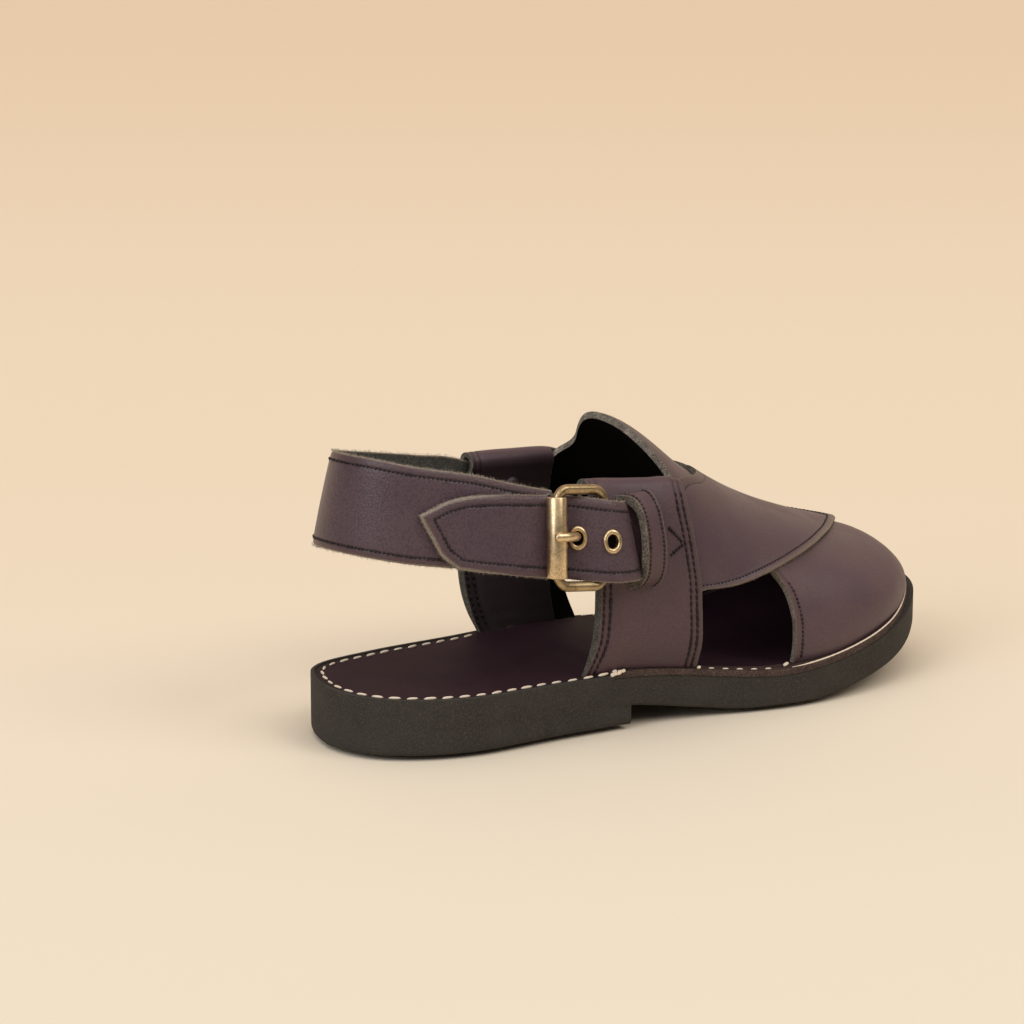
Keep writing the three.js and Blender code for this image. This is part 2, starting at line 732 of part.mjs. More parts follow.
function buildBuckleStrap() {
  const start = BUCKLE_STRAP_EDGES[0].x;
  const end = BUCKLE_STRAP_DEPTH[BUCKLE_STRAP_DEPTH.length - 1].x;
  const steps = 30;
  const across = 5;
  const place = (i, j) => {
    const part = j / across;
    const x = between(start + STRAP_TIP_SLANT * (1 - part) ** 1.2, end, i, steps);
    const { centre, up, out } = strapFrame(x);
    const height = between(strapLower(x), strapUpper(x), j, across);
    const point = centre.clone().addScaledVector(up, (height - centre.z) / up.z);
    const at = (offset) => point.clone().addScaledVector(out, offset).toArray();
    return { inner: at(-BUCKLE_STRAP_THICKNESS / 2), outer: at(BUCKLE_STRAP_THICKNESS / 2) };
  };
  let body = toSolid(sheet(steps, across, place));
  for (const x of EYELET_AT) {
    const cutter = new THREE.CylinderGeometry(EYELET.cut, EYELET.cut, 12, 20);
    cutter.applyMatrix4(eyeletPlace(x));
    body = body.subtract(toSolid(cutter));
  }
  return toGeometry(body);
}

// Eyelets stand on the outer face of the buckle strap, with their axis square to it
function eyeletPlace(x) {
  const { centre, along, up, out } = strapFrame(x);
  const middle = (strapLower(x) + strapUpper(x)) / 2;
  const point = centre.clone().addScaledVector(up, (middle - centre.z) / up.z);
  const basis = new THREE.Matrix4().makeBasis(along, out, along.clone().cross(out));
  return basis.setPosition(point);
}

function buildEyelet(x) {
  const half = BUCKLE_STRAP_THICKNESS / 2;
  const top = half + GAP;
  const profile = [
    [EYELET.hole, -half],
    [EYELET.barrel, -half],
    [EYELET.barrel, top],
    [EYELET.flange, top],
    [EYELET.flange - 0.4, top + EYELET.height * 0.75],
    [EYELET.flange - 1.2, top + EYELET.height],
    [EYELET.hole + 0.7, top + EYELET.height * 0.8],
    [EYELET.hole, top + 0.1],
    [EYELET.hole, -half],
  ];
  const ring = new THREE.LatheGeometry(profile.map(([r, h]) => new THREE.Vector2(r, h)), 20);
  ring.applyMatrix4(eyeletPlace(x));
  return toGeometry(toSolid(ring));
}

// Rod of round section along a line of points, with flat ends
function rod(points, radius, closed, steps, sides) {
  const path = new THREE.CatmullRomCurve3(points, closed, 'centripetal');
  const circle = new THREE.Shape();
  for (let k = 0; k < sides; k += 1) {
    const angle = 2 * Math.PI * k / sides;
    const corner = [radius * Math.cos(angle), radius * Math.sin(angle)];
    if (k === 0) circle.moveTo(...corner);
    else circle.lineTo(...corner);
  }
  return new THREE.ExtrudeGeometry(circle, { steps, bevelEnabled: false, extrudePath: path });
}

function roundedLoop() {
  const half = BUCKLE.height / 2;
  const corner = BUCKLE.corner;
  const points = [];
  const corners = [
    [BUCKLE.bar - corner, half - corner, 0],
    [BUCKLE.rollerAt + corner, half - corner, 1],
    [BUCKLE.rollerAt + corner, -half + corner, 2],
    [BUCKLE.bar - corner, -half + corner, 3],
  ];
  for (const [x, height, quarter] of corners) {
    for (let k = 0; k <= 5; k += 1) {
      const angle = Math.PI / 2 * (quarter + k / 5);
      points.push([x + corner * Math.cos(angle), height + corner * Math.sin(angle)]);
    }
  }
  return points;
}

function buildBuckleFrame() {
  const loop = roundedLoop();
  const sides = 10;
  const rings = loop.map(([x, height], i) => {
    const before = loop[(i + loop.length - 1) % loop.length];
    const after = loop[(i + 1) % loop.length];
    const along = new THREE.Vector2(after[0] - before[0], after[1] - before[1]).normalize();
    const ring = [];
    for (let k = 0; k < sides; k += 1) {
      const angle = 2 * Math.PI * k / sides;
      const inPlane = BUCKLE.wire * Math.cos(angle);
      const depth = BUCKLE.depth + BUCKLE.wire * Math.sin(angle);
      ring.push(metalPoint(x + along.y * inPlane, height - along.x * inPlane, depth).toArray());
    }
    return ring;
  });
  const triangles = [];
  rings.forEach((ring, i) => {
    const next = rings[(i + 1) % rings.length];
    for (let k = 0; k < sides; k += 1) {
      const m = (k + 1) % sides;
      triangles.push(...quad(ring[k], next[k], next[m], ring[m]));
    }
  });
  return solid(triangles);
}

// Sleeve round a bar of the buckle
function sleeve(x, bore, radius, length) {
  const half = length / 2;
  const profile = [[bore, -half], [radius, -half], [radius, half], [bore, half], [bore, -half]];
  const tube = new THREE.LatheGeometry(profile.map(([r, h]) => new THREE.Vector2(r, h)), 20);
  const basis = new THREE.Matrix4().makeBasis(metalAlong, metalUp, buckleOut);
  tube.applyMatrix4(basis.setPosition(metalPoint(x, 0, BUCKLE.depth)));
  return tube;
}

function buildRoller() {
  return toGeometry(toSolid(sleeve(BUCKLE.rollerAt, ROLLER.bore, ROLLER.radius, ROLLER.length)));
}

// Prong: hooked on the bar, under the strap, out through the first eyelet and over the roller
function buildProng() {
  const middle = (strapLower(EYELET_AT[0]) + strapUpper(EYELET_AT[0])) / 2;
  const height = (middle - BUCKLE.z) / Math.cos(lean);
  const points = PRONG_PATH.map((row) => {
    const rise = Math.min(1, (BUCKLE.bar - row.x) / 10);
    return metalPoint(row.x, height * rise, row.depth);
  });
  const wire = rod(points, PRONG.radius, false, 18, 8);
  const loop = sleeve(BUCKLE.bar, PRONG.bore, PRONG.sleeve, PRONG.width);
  return toGeometry(toSolid(loop).add(toSolid(wire)));
}

// Chape: the leather tab that holds the buckle bar, sewn on the side strap with a pointed end
function buildChape() {
  const thickness = CHAPE.thickness;
  const sideFace = 2 * LEATHER + 2 * GAP + LEATHER;
  const inner = 14;
  const turn = 8;
  const lap = 4;
  const radius = BUCKLE.wire + GAP;
  const heights = [-1, -0.66, -CHAPE.slot / CHAPE.half, 0, CHAPE.slot / CHAPE.half, 0.66, 1];
  const place = (i, j) => {
    const part = heights[j];
    const height = CHAPE.half * part;
    if (i <= inner) {
      const tip = CHAPE.tip - CHAPE.point * Math.abs(part);
      const x = between(tip, BUCKLE.bar, i, inner);
      const drop = CHAPE.drop * THREE.MathUtils.smoothstep(x, BUCKLE.bar, CHAPE.tip);
      const z = BUCKLE.z + (height - drop) * Math.cos(lean);
      const way = wayAtHeight(x, z - 0.8, -1);
      const lower = new THREE.Vector3(...lastOffset(x, way, sideFace + GAP));
      const upper = new THREE.Vector3(...lastOffset(x, way, sideFace + GAP + thickness));
      const level = 1 - THREE.MathUtils.smoothstep(x, BUCKLE.bar, BUCKLE.bar + 8);
      const flatLow = metalPoint(x, height, BUCKLE.depth - radius - thickness);
      const flatHigh = metalPoint(x, height, BUCKLE.depth - radius);
      return { inner: lower.lerp(flatLow, level).toArray(), outer: upper.lerp(flatHigh, level).toArray() };
    }
    if (i <= inner + turn) {
      const angle = -Math.PI / 2 - Math.PI * (i - inner) / turn;
      const at = (r) => {
        const depth = BUCKLE.depth + r * Math.sin(angle);
        return metalPoint(BUCKLE.bar + r * Math.cos(angle), height, depth).toArray();
      };
      return { inner: at(radius + thickness), outer: at(radius) };
    }
    const f = (i - inner - turn) / lap;
    const x = between(BUCKLE.bar, CHAPE.lap, i - inner - turn, lap);
    const fall = CHAPE.fall * THREE.MathUtils.smoothstep(f, 0, 1);
    const at = (r) => metalPoint(x, height, BUCKLE.depth + r - fall).toArray();
    return { inner: at(radius + thickness), outer: at(radius) };
  };
  const keep = (i, j) => {
    const slot = i >= inner - 4 && i < inner + turn + 3;
    return !(slot && Math.abs(heights[j] + heights[j + 1]) / 2 < CHAPE.slot / CHAPE.half);
  };
  return sheet(inner + turn + lap, heights.length - 1, place, keep);
}

// Keeper: a loop sewn to the side strap above and below, standing over the end of the buckle strap
function buildKeeper() {
  const columns = 5;
  const rows = 14;
  const sideFace = 2 * LEATHER + 2 * GAP + LEATHER;
  const place = (i, j) => {
    const x = between(KEEPER.rear, KEEPER.front, j, columns);
    const z = between(KEEPER.low, KEEPER.high, i, rows);
    const way = wayAtHeight(x, z, -1);
    const p = lastPoint(lastTurn(x), way);
    const out = lastNormal(lastTurn(x), way);
    const across = Math.abs(2 * i / rows - 1);
    const gain = between(KEEPER.lowGain, 1, i, rows);
    const tall = between(KEEPER.rearRise, KEEPER.frontRise, j, columns) * gain;
    const arch = tall * Math.min(1, KEEPER.flank * (1 - across)) ** KEEPER.roundness;
    const at = (offset) => p.clone().addScaledVector(out, sideFace + GAP + arch + offset).toArray();
    return { inner: at(0), outer: at(KEEPER.thickness) };
  };
  return sheet(rows, columns, place);
}

// Assembly: named pieces in their places, then the whole moved to stand centred over the origin
const group = new THREE.Group();
group.name = 'peshawari_chappal';

function add(name, geometry, look) {
  const material = new THREE.MeshStandardMaterial(look);
  const mesh = new THREE.Mesh(geometry, material);
  mesh.name = name;
  group.add(mesh);
}

const strapRight = curve(STRAP_RIGHT, 'round', 'x');
const leftLateral = curve(STRAP_LEFT_LATERAL, 'round', 'x');
const leftMedial = curve(STRAP_LEFT_MEDIAL, 'round', 'x');
add('outsole', buildOutsole(), RUBBER);
add('heel_lift', buildHeelLift(), RUBBER);
add('welt', buildWelt(), BROWN_EDGE);
add('insole', buildInsole(), PLUM);
add('upper', buildUpper(), DARK_LINING);
add('vamp_overlay', buildOverlay(), PLUM);
add('side_strap_lateral', buildSideStrap(-1, FOLD_LATERAL, leftLateral, strapRight), PLUM);
add('side_strap_medial', buildSideStrap(1, FOLD_MEDIAL, leftMedial, strapRight), PLUM);
add('heel_strap', buildHeelStrap(), PLUM);
add('buckle_strap', buildBuckleStrap(), PLUM);
add('keeper_loop', buildKeeper(), PLUM);
add('buckle_chape', buildChape(), PLUM);
add('buckle_frame', buildBuckleFrame(), BRASS);
add('buckle_roller', buildRoller(), BRASS);
add('buckle_prong', buildProng(), BRASS);
add('eyelet_front', buildEyelet(EYELET_AT[1]), BRASS);
add('eyelet_rear', buildEyelet(EYELET_AT[0]), BRASS);

const box = new THREE.Box3().setFromObject(group);
const centre = box.getCenter(new THREE.Vector3());
for (const mesh of group.children) mesh.geometry.translate(-centre.x, -centre.y, -box.min.z);

export default group;
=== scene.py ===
# Looks of a right leather sandal: plum leather, cream thread, antique brass and a black foam rubber sole
import math

import bpy
import numpy as np
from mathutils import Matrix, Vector


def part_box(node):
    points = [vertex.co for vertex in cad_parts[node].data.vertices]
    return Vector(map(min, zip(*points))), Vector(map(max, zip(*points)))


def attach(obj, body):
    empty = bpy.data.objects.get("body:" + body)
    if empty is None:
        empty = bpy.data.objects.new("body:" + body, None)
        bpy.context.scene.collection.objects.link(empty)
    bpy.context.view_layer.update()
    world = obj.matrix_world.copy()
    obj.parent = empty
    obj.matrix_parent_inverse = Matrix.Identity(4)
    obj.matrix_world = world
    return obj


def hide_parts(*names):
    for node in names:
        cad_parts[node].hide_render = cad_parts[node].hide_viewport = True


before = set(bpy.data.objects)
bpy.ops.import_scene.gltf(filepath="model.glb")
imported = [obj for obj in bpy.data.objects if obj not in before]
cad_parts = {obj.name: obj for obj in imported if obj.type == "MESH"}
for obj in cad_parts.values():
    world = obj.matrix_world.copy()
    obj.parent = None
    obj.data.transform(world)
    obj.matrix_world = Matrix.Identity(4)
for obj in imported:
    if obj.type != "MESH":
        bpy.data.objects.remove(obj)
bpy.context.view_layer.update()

# Sizes of the shoe in millimetres: x from the heel to the toe, y to the inner side of the foot, z up
MM = 0.001
UP = np.array([0, 0, 1.0])
FORWARD = np.array([1.0, 0, 0])
LENGTH = 280
GAP = 0.3
LEATHER = 2.0
WELT_THICKNESS = 2.7
WELT_WIDTH = 7.5
WELT_START = 106
HEEL_BREAST = 114
LAST_BACK = 80
LAST_TIP = 273.5
STRAP_LEAN = math.radians(12)
SOLE_RINGS = 48

# Half widths of the sole by turn, heel to toe: turn, lateral, medial
SOLE_OUTLINE = [(0.0, 0, 0), (0.12, 25.1, 28), (0.25, 40.8, 37), (0.38, 42.5, 40), (0.5, 46.6, 46.5),
                (0.62, 57.1, 52), (0.75, 50.8, 47.5), (0.88, 26.4, 28), (1.0, 0, 0)]

# Faces of the rubber along the foot: x, z
SOLE_TOP = [(0, 22.7), (114, 19.5), (190, 12.4), (280, 30.1)]
SOLE_BOTTOM = [(0, 10.9), (100, 8.7), (118, 7.4), (142, 3.2), (166, 0), (198, 0), (238, 7.0), (280, 18.3)]
RIM_RISE = [(0, 0.75), (45, 0.75), (76, 0.95), (95, 1.3), (104, 1.5)]
INSOLE_RISE = [(0, 0), (45, 0), (76, 0.25), (87, 0.6), (99, 1.5), (106, 1.9), (113, 2.7), (280, 2.7)]

# Sections of the last: x, ridge, shift, lateral, medial, tuck, side, crown
LAST = [
    (80, 119, 2, 41.5, 39.5, 25, 3.0, 1.16),
    (110, 117.5, 2, 42.5, 41.5, 25, 3.0, 1.16),
    (135, 112.3, 2, 45, 44, 24, 2.9, 1.16),
    (160, 92.7, 2, 48.5, 46.5, 21, 2.6, 1.14),
    (185, 76.6, 2, 52, 48.5, 17, 2.35, 1.1),
    (210, 65, 1, 53.5, 48, 14, 2.2, 1.06),
    (235, 56.3, 0, 48, 43.5, 12, 2.15, 1.04),
    (255, 50.5, 0, 36, 34, 12, 2.1, 1.0),
    (266, 43, 0, 22.5, 22.5, 12, 2.1, 1.0),
    (273.5, 31.5, 0, 0, 0, 12, 2.1, 1.0),
]

# Cut edges of the leather: way round the foot, x
TONGUE_EDGE = [(0, 129.2), (0.04, 130.2), (0.091, 131.8), (0.168, 133.4), (0.239, 135.1), (0.35, 138.4),
               (0.411, 139.8), (0.46, 138), (0.51, 133.5), (0.56, 131)]
TONGUE_EDGE_MEDIAL = [(0, 129.2), (0.08, 129), (0.16, 130), (0.241, 132), (0.327, 134.8), (0.38, 136.5),
                      (0.415, 136.6), (0.45, 135.6), (0.506, 132.1), (0.56, 129.5)]
CAP_EDGE = [(0, 180), (0.6, 180), (0.687, 184.8), (0.764, 186.9), (0.84, 188.1), (1, 188.4)]
OVERLAY_REAR = [(0, 170), (0.134, 166), (0.307, 154.7), (0.467, 138.7), (0.57, 132)]
OVERLAY_FRONT = [(0, 246.5), (0.046, 244.5), (0.238, 228.8), (0.383, 212.6), (0.507, 196.8), (0.595, 184.3),
                 (0.675, 172.2), (0.727, 163), (0.768, 152.4), (0.8, 137)]
STRAP_RIGHT = [(0.48, 136.4), (0.53, 137.7), (0.6, 138.6), (0.66, 140), (0.735, 141.8), (0.79, 143.3),
               (1, 145.4)]
STRAP_LEFT_LATERAL = [(0.5, 94.5), (0.7, 98), (0.86, 97.5), (0.94, 95.5), (1, 94)]
STRAP_LEFT_MEDIAL = [(0.5, 89.5), (0.8, 88.5), (0.9, 90.5), (1, 94)]

# Folds of the side straps: way round, front end, and lift over the top of the leg by x
FOLD_LATERAL = {"round": 0.533, "front": 132.3,
                "lift": [(94, 1.15), (106, 0.73), (112, 0.5), (120, 0.5), (126, 0.9), (132, 2.4), (140, 3.6)]}
FOLD_MEDIAL = {"round": 0.565, "front": 131,
               "lift": [(89, 0.3), (115, 0.2), (124, 0.6), (131, 1.3), (140, 1.5)]}
LEG_FRONT = 138
LEG_REAR = 108
LEG_TOP = 0.57
WINDOW_TOP = 0.6
WING_REAR = 109
WAIST_LINE = {"ridge": 160, "fall": 45, "clear": 1.5}

# Heel strap from the inner side round the heel: x, y, z, half width
HEEL_STRAP = [
    (99, 41.6, 77.5, 13.2),
    (75, 40.0, 82.0, 16.6),
    (46, 36.5, 87.2, 17.8),
    (22, 28.5, 91.6, 18.8),
    (9.2, 16.5, 95.0, 19.2),
    (4.6, 0, 97.6, 19.0),
    (9.2, -16.5, 97.8, 19.0),
    (22, -28.5, 95.5, 18.9),
    (46, -36.6, 91.2, 18.4),
    (64, -39.9, 87.0, 17.2),
    (79, -41.8, 83.6, 16.6),
]
HEEL_SETTLE = {"from": 62, "to": 84}

# Buckle and its strap
BUCKLE = {"y": -46.6, "z": 81.5, "middle": 87, "pitch": math.radians(7), "wire": 1.7, "flat": 0.4,
          "height": 38.2, "bar": 96.0, "roller": 74.3, "depth": 3.8, "corner": 5}
ROLLER = {"radius": 4, "bore": 2.0, "length": 31.6, "lip": 0.5, "soft": 0.15}
EYELET = {"hole": 2.5, "flange": 4.5, "height": 0.9, "wall": 0.45, "cut": 3.5, "long": 0.85, "tall": 1.07}
PRONG = {"radius": 1.5, "sleeve": 3.0, "bore": 2.0, "width": 3.4, "lip": 0.3, "end": 0.97}
CHAPE = {"thickness": 1.2, "half": 6.6, "tip": 137, "point": 9, "drop": 6.5, "sewn": 8}
KEEPER = {"rear": 111.0, "front": 121.6, "thick_rear": 4.4, "thick_front": 2.6,
          "reach_top": 5.0, "reach_foot": 3.0}

# Bends of the keeper loop, from its top to its foot: y, z
KEEPER_REAR = [(-41.5, 94.4), (-45.5, 95.6), (-49.6, 94.8), (-54.6, 90.6), (-57.6, 84), (-58.8, 77),
               (-58.9, 70.5), (-58.0, 65.3), (-55.0, 61.2), (-50.1, 58.2), (-46.5, 57)]
KEEPER_FRONT = [(-41.0, 95.0), (-44.2, 95.4), (-47.6, 94.2), (-52.3, 89.4), (-54.7, 83.6), (-56.3, 79),
                (-57.1, 73.5), (-56.9, 67.6), (-55.0, 62.3), (-51.3, 58.6), (-47.5, 57)]

# Prong: x, depth. Buckle strap: x, depth, and x, upper edge, lower edge
PRONG_PATH = [(95.6, 3.2), (92, 2.1), (88.6, 0.5), (86.4, 0.3), (84.9, 1.8), (83.2, 4.4), (80.6, 7.7),
              (76.5, 9.6), (69.8, 9.2)]
BUCKLE_STRAP_THICKNESS = 2.2
BUCKLE_STRAP_DEPTH = [(74, -0.6), (78, -0.7), (81, 0.5), (85, 2.9), (90, 5.9), (95, 8.6), (98, 9.5),
                      (103, 9.0), (106.5, 7.2), (108.5, 4.0), (111, 0.6)]
BUCKLE_STRAP_EDGES = [(24.2, 96.3, 77.6), (35, 100.9, 75.2), (47, 101.9, 72.6), (72, 99.5, 67.8),
                      (98, 96, 64.6), (112, 93, 63)]
STRAP_TIP = {"slant": 8.4, "round": 4.5, "thicker": 0.7}
EYELET_AT = {"eyelet_rear": 85, "eyelet_front": 96.6}

# Distances of the stitch rows from the cut edges
UPPER_MARK = 3.2
OVERLAY_MARK = 4.4
OVERLAY_REAR_MARK = 4.6
LEFT_MARKS = [1.8, 4.5]
RIGHT_MARKS = [2.5, 5.1]
HEEL_MARKS = {"low": 3.0, "high": 3.4}
STRAP_MARK = 3.9
KEEPER_MARK = 1.6

# Camera of the photograph, in the same millimetres
CAMERA_AT = (-720.91, -1247.34, 463.68)
CAMERA_TARGET = (86.01, 0, 81.88)
CAMERA_LENS = 135.5

rng = np.random.default_rng(7)


# Smooth curve through the rows of a table
def curve(table, column=1):
    rows = np.array(table, float)
    at, value = rows[:, 0], rows[:, column]
    ahead = np.minimum(np.arange(len(at)) + 1, len(at) - 1)
    behind = np.maximum(np.arange(len(at)) - 1, 0)
    slope = (value[ahead] - value[behind]) / (at[ahead] - at[behind])

    def read(where):
        w = np.clip(np.asarray(where, float), at[0], at[-1])
        i = np.clip(np.searchsorted(at, w) - 1, 0, len(at) - 2)
        span = at[i + 1] - at[i]
        f = (w - at[i]) / span
        g = 1 - f
        start = g * g * (1 + 2 * f) * value[i] + g * g * f * span * slope[i]
        end = f * f * (3 - 2 * f) * value[i + 1] - f * f * g * span * slope[i + 1]
        return start + end

    return read


# Centripetal spline through points, read from 0 to 1
def spline(points):
    points = np.asarray(points, float)
    padded = np.concatenate([[2 * points[0] - points[1]], points, [2 * points[-1] - points[-2]]])

    def read(part):
        p = np.clip(np.asarray(part, float), 0, 1) * (len(points) - 1)
        i = np.minimum(p.astype(int), len(points) - 2)
        w = (p - i)[..., None]
        p0, p1, p2, p3 = (padded[i + k] for k in range(4))
        chords = (p1 - p0, p2 - p1, p3 - p2)
        d0, d1, d2 = (np.linalg.norm(chord, axis=-1, keepdims=True) ** 0.5 for chord in chords)
        t1 = ((p1 - p0) / d0 - (p2 - p0) / (d0 + d1) + (p2 - p1) / d1) * d1
        t2 = ((p2 - p1) / d1 - (p3 - p1) / (d1 + d2) + (p3 - p2) / d2) * d1
        c2 = -3 * p1 + 3 * p2 - 2 * t1 - t2
        c3 = 2 * p1 - 2 * p2 + t1 + t2
        return p1 + t1 * w + c2 * w * w + c3 * w ** 3

    return read


def smoothstep(value, low, high):
    t = np.clip((value - low) / (high - low), 0, 1)
    return t * t * (3 - 2 * t)


def unit(vectors):
    return vectors / np.maximum(np.linalg.norm(vectors, axis=-1, keepdims=True), 1e-9)


def mix(a, b, share):
    return a + (b - a) * share


def circle(count):
    """Equal angles round a full turn."""
    return 2 * math.pi * np.arange(count) / count


def spokes(angles, along, across, wide=1.0, tall=1.0):
    """Vectors round a centre in the plane of two axes."""
    return np.multiply.outer(np.cos(angles) * wide, along) + np.multiply.outer(np.sin(angles) * tall, across)


def bisect(test, low, high, steps=40):
    """Where a test turns from true to false between two bounds."""
    for _ in range(steps):
        middle = (low + high) / 2
        holds = test(middle)
        low, high = np.where(holds, middle, low), np.where(holds, high, middle)
    return (low + high) / 2


def nearest(points, line, blocks=50):
    """Distance of each point of the plan to the nearest point of a line."""
    near = []
    for block in np.array_split(points.reshape(-1, 2), blocks):
        near.append(np.min(np.linalg.norm(block[:, None] - line[None], axis=-1), 1))
    return np.concatenate(near).reshape(points.shape[:-1])


def line_lengths(points):
    return np.concatenate([[0], np.cumsum(np.linalg.norm(np.diff(points, axis=0), axis=1))])


def read_line(at, lengths, points):
    return np.stack([np.interp(at, lengths, column) for column in points.T], -1)


def refine(values, times):
    values = np.asarray(values, float)
    last = len(values) - 1
    return np.interp(np.linspace(0, last, last * times + 1), np.arange(last + 1), values)


def both_sides(half):
    return np.concatenate([-half[:0:-1], half])


# Sole outline and faces
STEP = 0.004
sole_lateral = curve(SOLE_OUTLINE, 1)
sole_medial = curve(SOLE_OUTLINE, 2)
sole_top = curve(SOLE_TOP)
sole_bottom_curve = curve(SOLE_BOTTOM)
insole_rise = curve(INSOLE_RISE)
rim_rise = curve(RIM_RISE)


def sole_bottom(x):
    return np.maximum(0, sole_bottom_curve(x))


def sole_x(turn):
    return LENGTH * (1 - np.cos(math.pi * np.asarray(turn))) / 2


def sole_turn(x):
    return np.arccos(1 - 2 * np.asarray(x) / LENGTH) / math.pi


def sole_edge(walk):
    """Edge of the sole in plan: walk is 0 at the toe and 1 at the heel, negative on the outer side."""
    turn = 1 - np.abs(walk)
    y = np.where(walk < 0, -sole_lateral(turn), sole_medial(turn))
    return np.stack([sole_x(turn), y], -1)


def inset_edge(walk, inset):
    along = unit(sole_edge(np.minimum(walk + STEP, 1)) - sole_edge(np.maximum(walk - STEP, -1)))
    outward = np.stack([along[..., 1], -along[..., 0]], -1)
    return sole_edge(walk) - outward * np.asarray(inset)[..., None]


def on_sole(flat, rise):
    """Points of the plan at a rise over the top of the rubber."""
    z = sole_top(flat[..., 0]) + rise
    return np.concatenate([flat, z[..., None]], -1)


# The solids are centred over the origin: the widest ring of the sole gives the shift to it
sole_low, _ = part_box("outsole")
widest = sole_lateral(np.arange(SOLE_RINGS + 1) / SOLE_RINGS).max()
ORIGIN = np.array([-sole_low.x / MM, -sole_low.y / MM - widest, 0])


def to_row(points):
    return (np.asarray(points, float) - ORIGIN) * MM


# Last: a point on the foot form at a turn of its length and a way round, negative on the outer side
TIP_TURN = 0.985
BASE_POWER = 10


def last_turn(x):
    share = (np.asarray(x, float) - LAST_BACK) / (LAST_TIP - LAST_BACK)
    return np.arcsin(np.clip(share, 0, 1)) * 2 / math.pi


def last_x(turn):
    return LAST_BACK + (LAST_TIP - LAST_BACK) * np.sin(math.pi / 2 * np.asarray(turn))


def seat(x):
    return sole_top(x) + WELT_THICKNESS + 2 * GAP


def last_curve(values):
    return curve([(last_turn(row[0]), value) for row, value in zip(LAST, values)])


last_rise = last_curve([row[1] - seat(row[0]) if row[3] > 0 else 0 for row in LAST])
last_columns = list(zip(*LAST))[2:]
last_shift, last_lateral, last_medial, last_tuck, last_side, last_crown = map(last_curve, last_columns)


def last_point(turn, way):
    turn, way = np.broadcast_arrays(np.asarray(turn, float), np.asarray(way, float))
    x = last_x(turn)
    around = np.abs(way)
    half = np.where(way < 0, last_lateral(turn), last_medial(turn))
    tuck = np.radians(last_tuck(turn))
    power = 2 / last_side(turn)
    angle = -tuck + (math.pi / 2 + tuck) * (1 - around)
    below = np.sin(tuck) ** power
    rise = last_rise(turn)
    level = seat(x) + rise * below / (1 + below)
    sine = np.sin(angle)
    reach = np.sign(way) * half * np.abs(np.cos(angle)) ** last_crown(turn)
    y = last_shift(turn) * (1 - around * around) + reach
    z = level + rise / (1 + below) * np.sign(sine) * np.abs(sine) ** power
    return np.stack([x, y, z], -1)


def last_normal(turn, way):
    turn, way = np.broadcast_arrays(np.asarray(turn, float), np.asarray(way, float))
    t = np.minimum(turn, TIP_TURN)
    along = last_point(t + STEP, way) - last_point(np.maximum(t - STEP, 0), way)
    around = last_point(t, np.minimum(way + STEP, 1)) - last_point(t, np.maximum(way - STEP, -1))
    out = -np.cross(around, along)
    out[..., 2] *= 1 - np.abs(way) ** BASE_POWER
    out[..., 2] *= np.where(turn > TIP_TURN, (1 - turn) / (1 - TIP_TURN), 1)
    return unit(out)


def skin_out(x, way):
    return last_normal(last_turn(x), way)


def last_offset(x, way, offset):
    p = last_point(last_turn(x), way) + skin_out(x, way) * np.asarray(offset, float)[..., None]
    p[..., 2] += (seat(p[..., 0]) - seat(np.broadcast_to(x, p.shape[:-1]))) * np.abs(way) ** BASE_POWER
    return p


def seam_line(x, way, offset):
    """Line of stitches over the last, with the way out of the leather."""
    return last_offset(x, way, offset), skin_out(x, way)


def way_at_height(x, z, side):
    return side * bisect(lambda around: last_point(last_turn(x), side * around)[..., 2] > z, 0.0, 1.0)


# Meshes: every piece goes in its place in metres, with smooth faces and its materials
BEVEL = {"segments": 3, "angle": math.radians(50)}
JOIN_PER_MM = 2000
MARGIN_FADE = (1.8, 3.2)
RAW_FADE = (0.6, 1.5)


def add_object(name, data):
    made = bpy.data.objects.new(name, data)
    bpy.context.scene.collection.objects.link(made)
    return made


def make_piece(name, vertices, faces, looks, slot, node=None, indices=None, bevel=0.0, attributes=None,
               sharp=38):
    mesh = bpy.data.meshes.new(name)
    mesh.from_pydata(to_row(vertices).tolist(), [], faces)
    for look in looks:
        mesh.materials.append(look)
    if indices is not None:
        mesh.polygons.foreach_set("material_index", np.asarray(indices, np.int32))
    for key, values in (attributes or {}).items():
        mesh.attributes.new(key, "FLOAT", "POINT").data.foreach_set("value", np.asarray(values, np.float32))
    mesh.polygons.foreach_set("use_smooth", np.ones(len(mesh.polygons), bool))
    mesh.update()
    mesh.set_sharp_from_angle(angle=math.radians(sharp))
    piece = add_object(name, mesh)
    if bevel:
        edge = piece.modifiers.new("edge", "BEVEL")
        edge.width = bevel * MM
        edge.segments = BEVEL["segments"]
        edge.limit_method = "ANGLE"
        edge.angle_limit = BEVEL["angle"]
        edge.harden_normals = True
        edge.material = len(looks) - 1
    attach(piece, "root")
    if node:
        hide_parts(node)


def turn_outward(vertices, faces):
    """Faces turned over where the body that they close would be inside out."""
    fans = np.array([(face[0], face[k], face[k + 1]) for face in faces for k in range(1, len(face) - 1)])
    a, b, c = (vertices[fans[:, k]] for k in range(3))
    inside_out = np.einsum("ij,ij->", a, np.cross(b, c)) < 0
    return [corners[::-1] for corners in faces] if inside_out else faces


def all_faces(grid):
    return np.ones((grid.shape[0] - 1, grid.shape[1] - 1), bool)


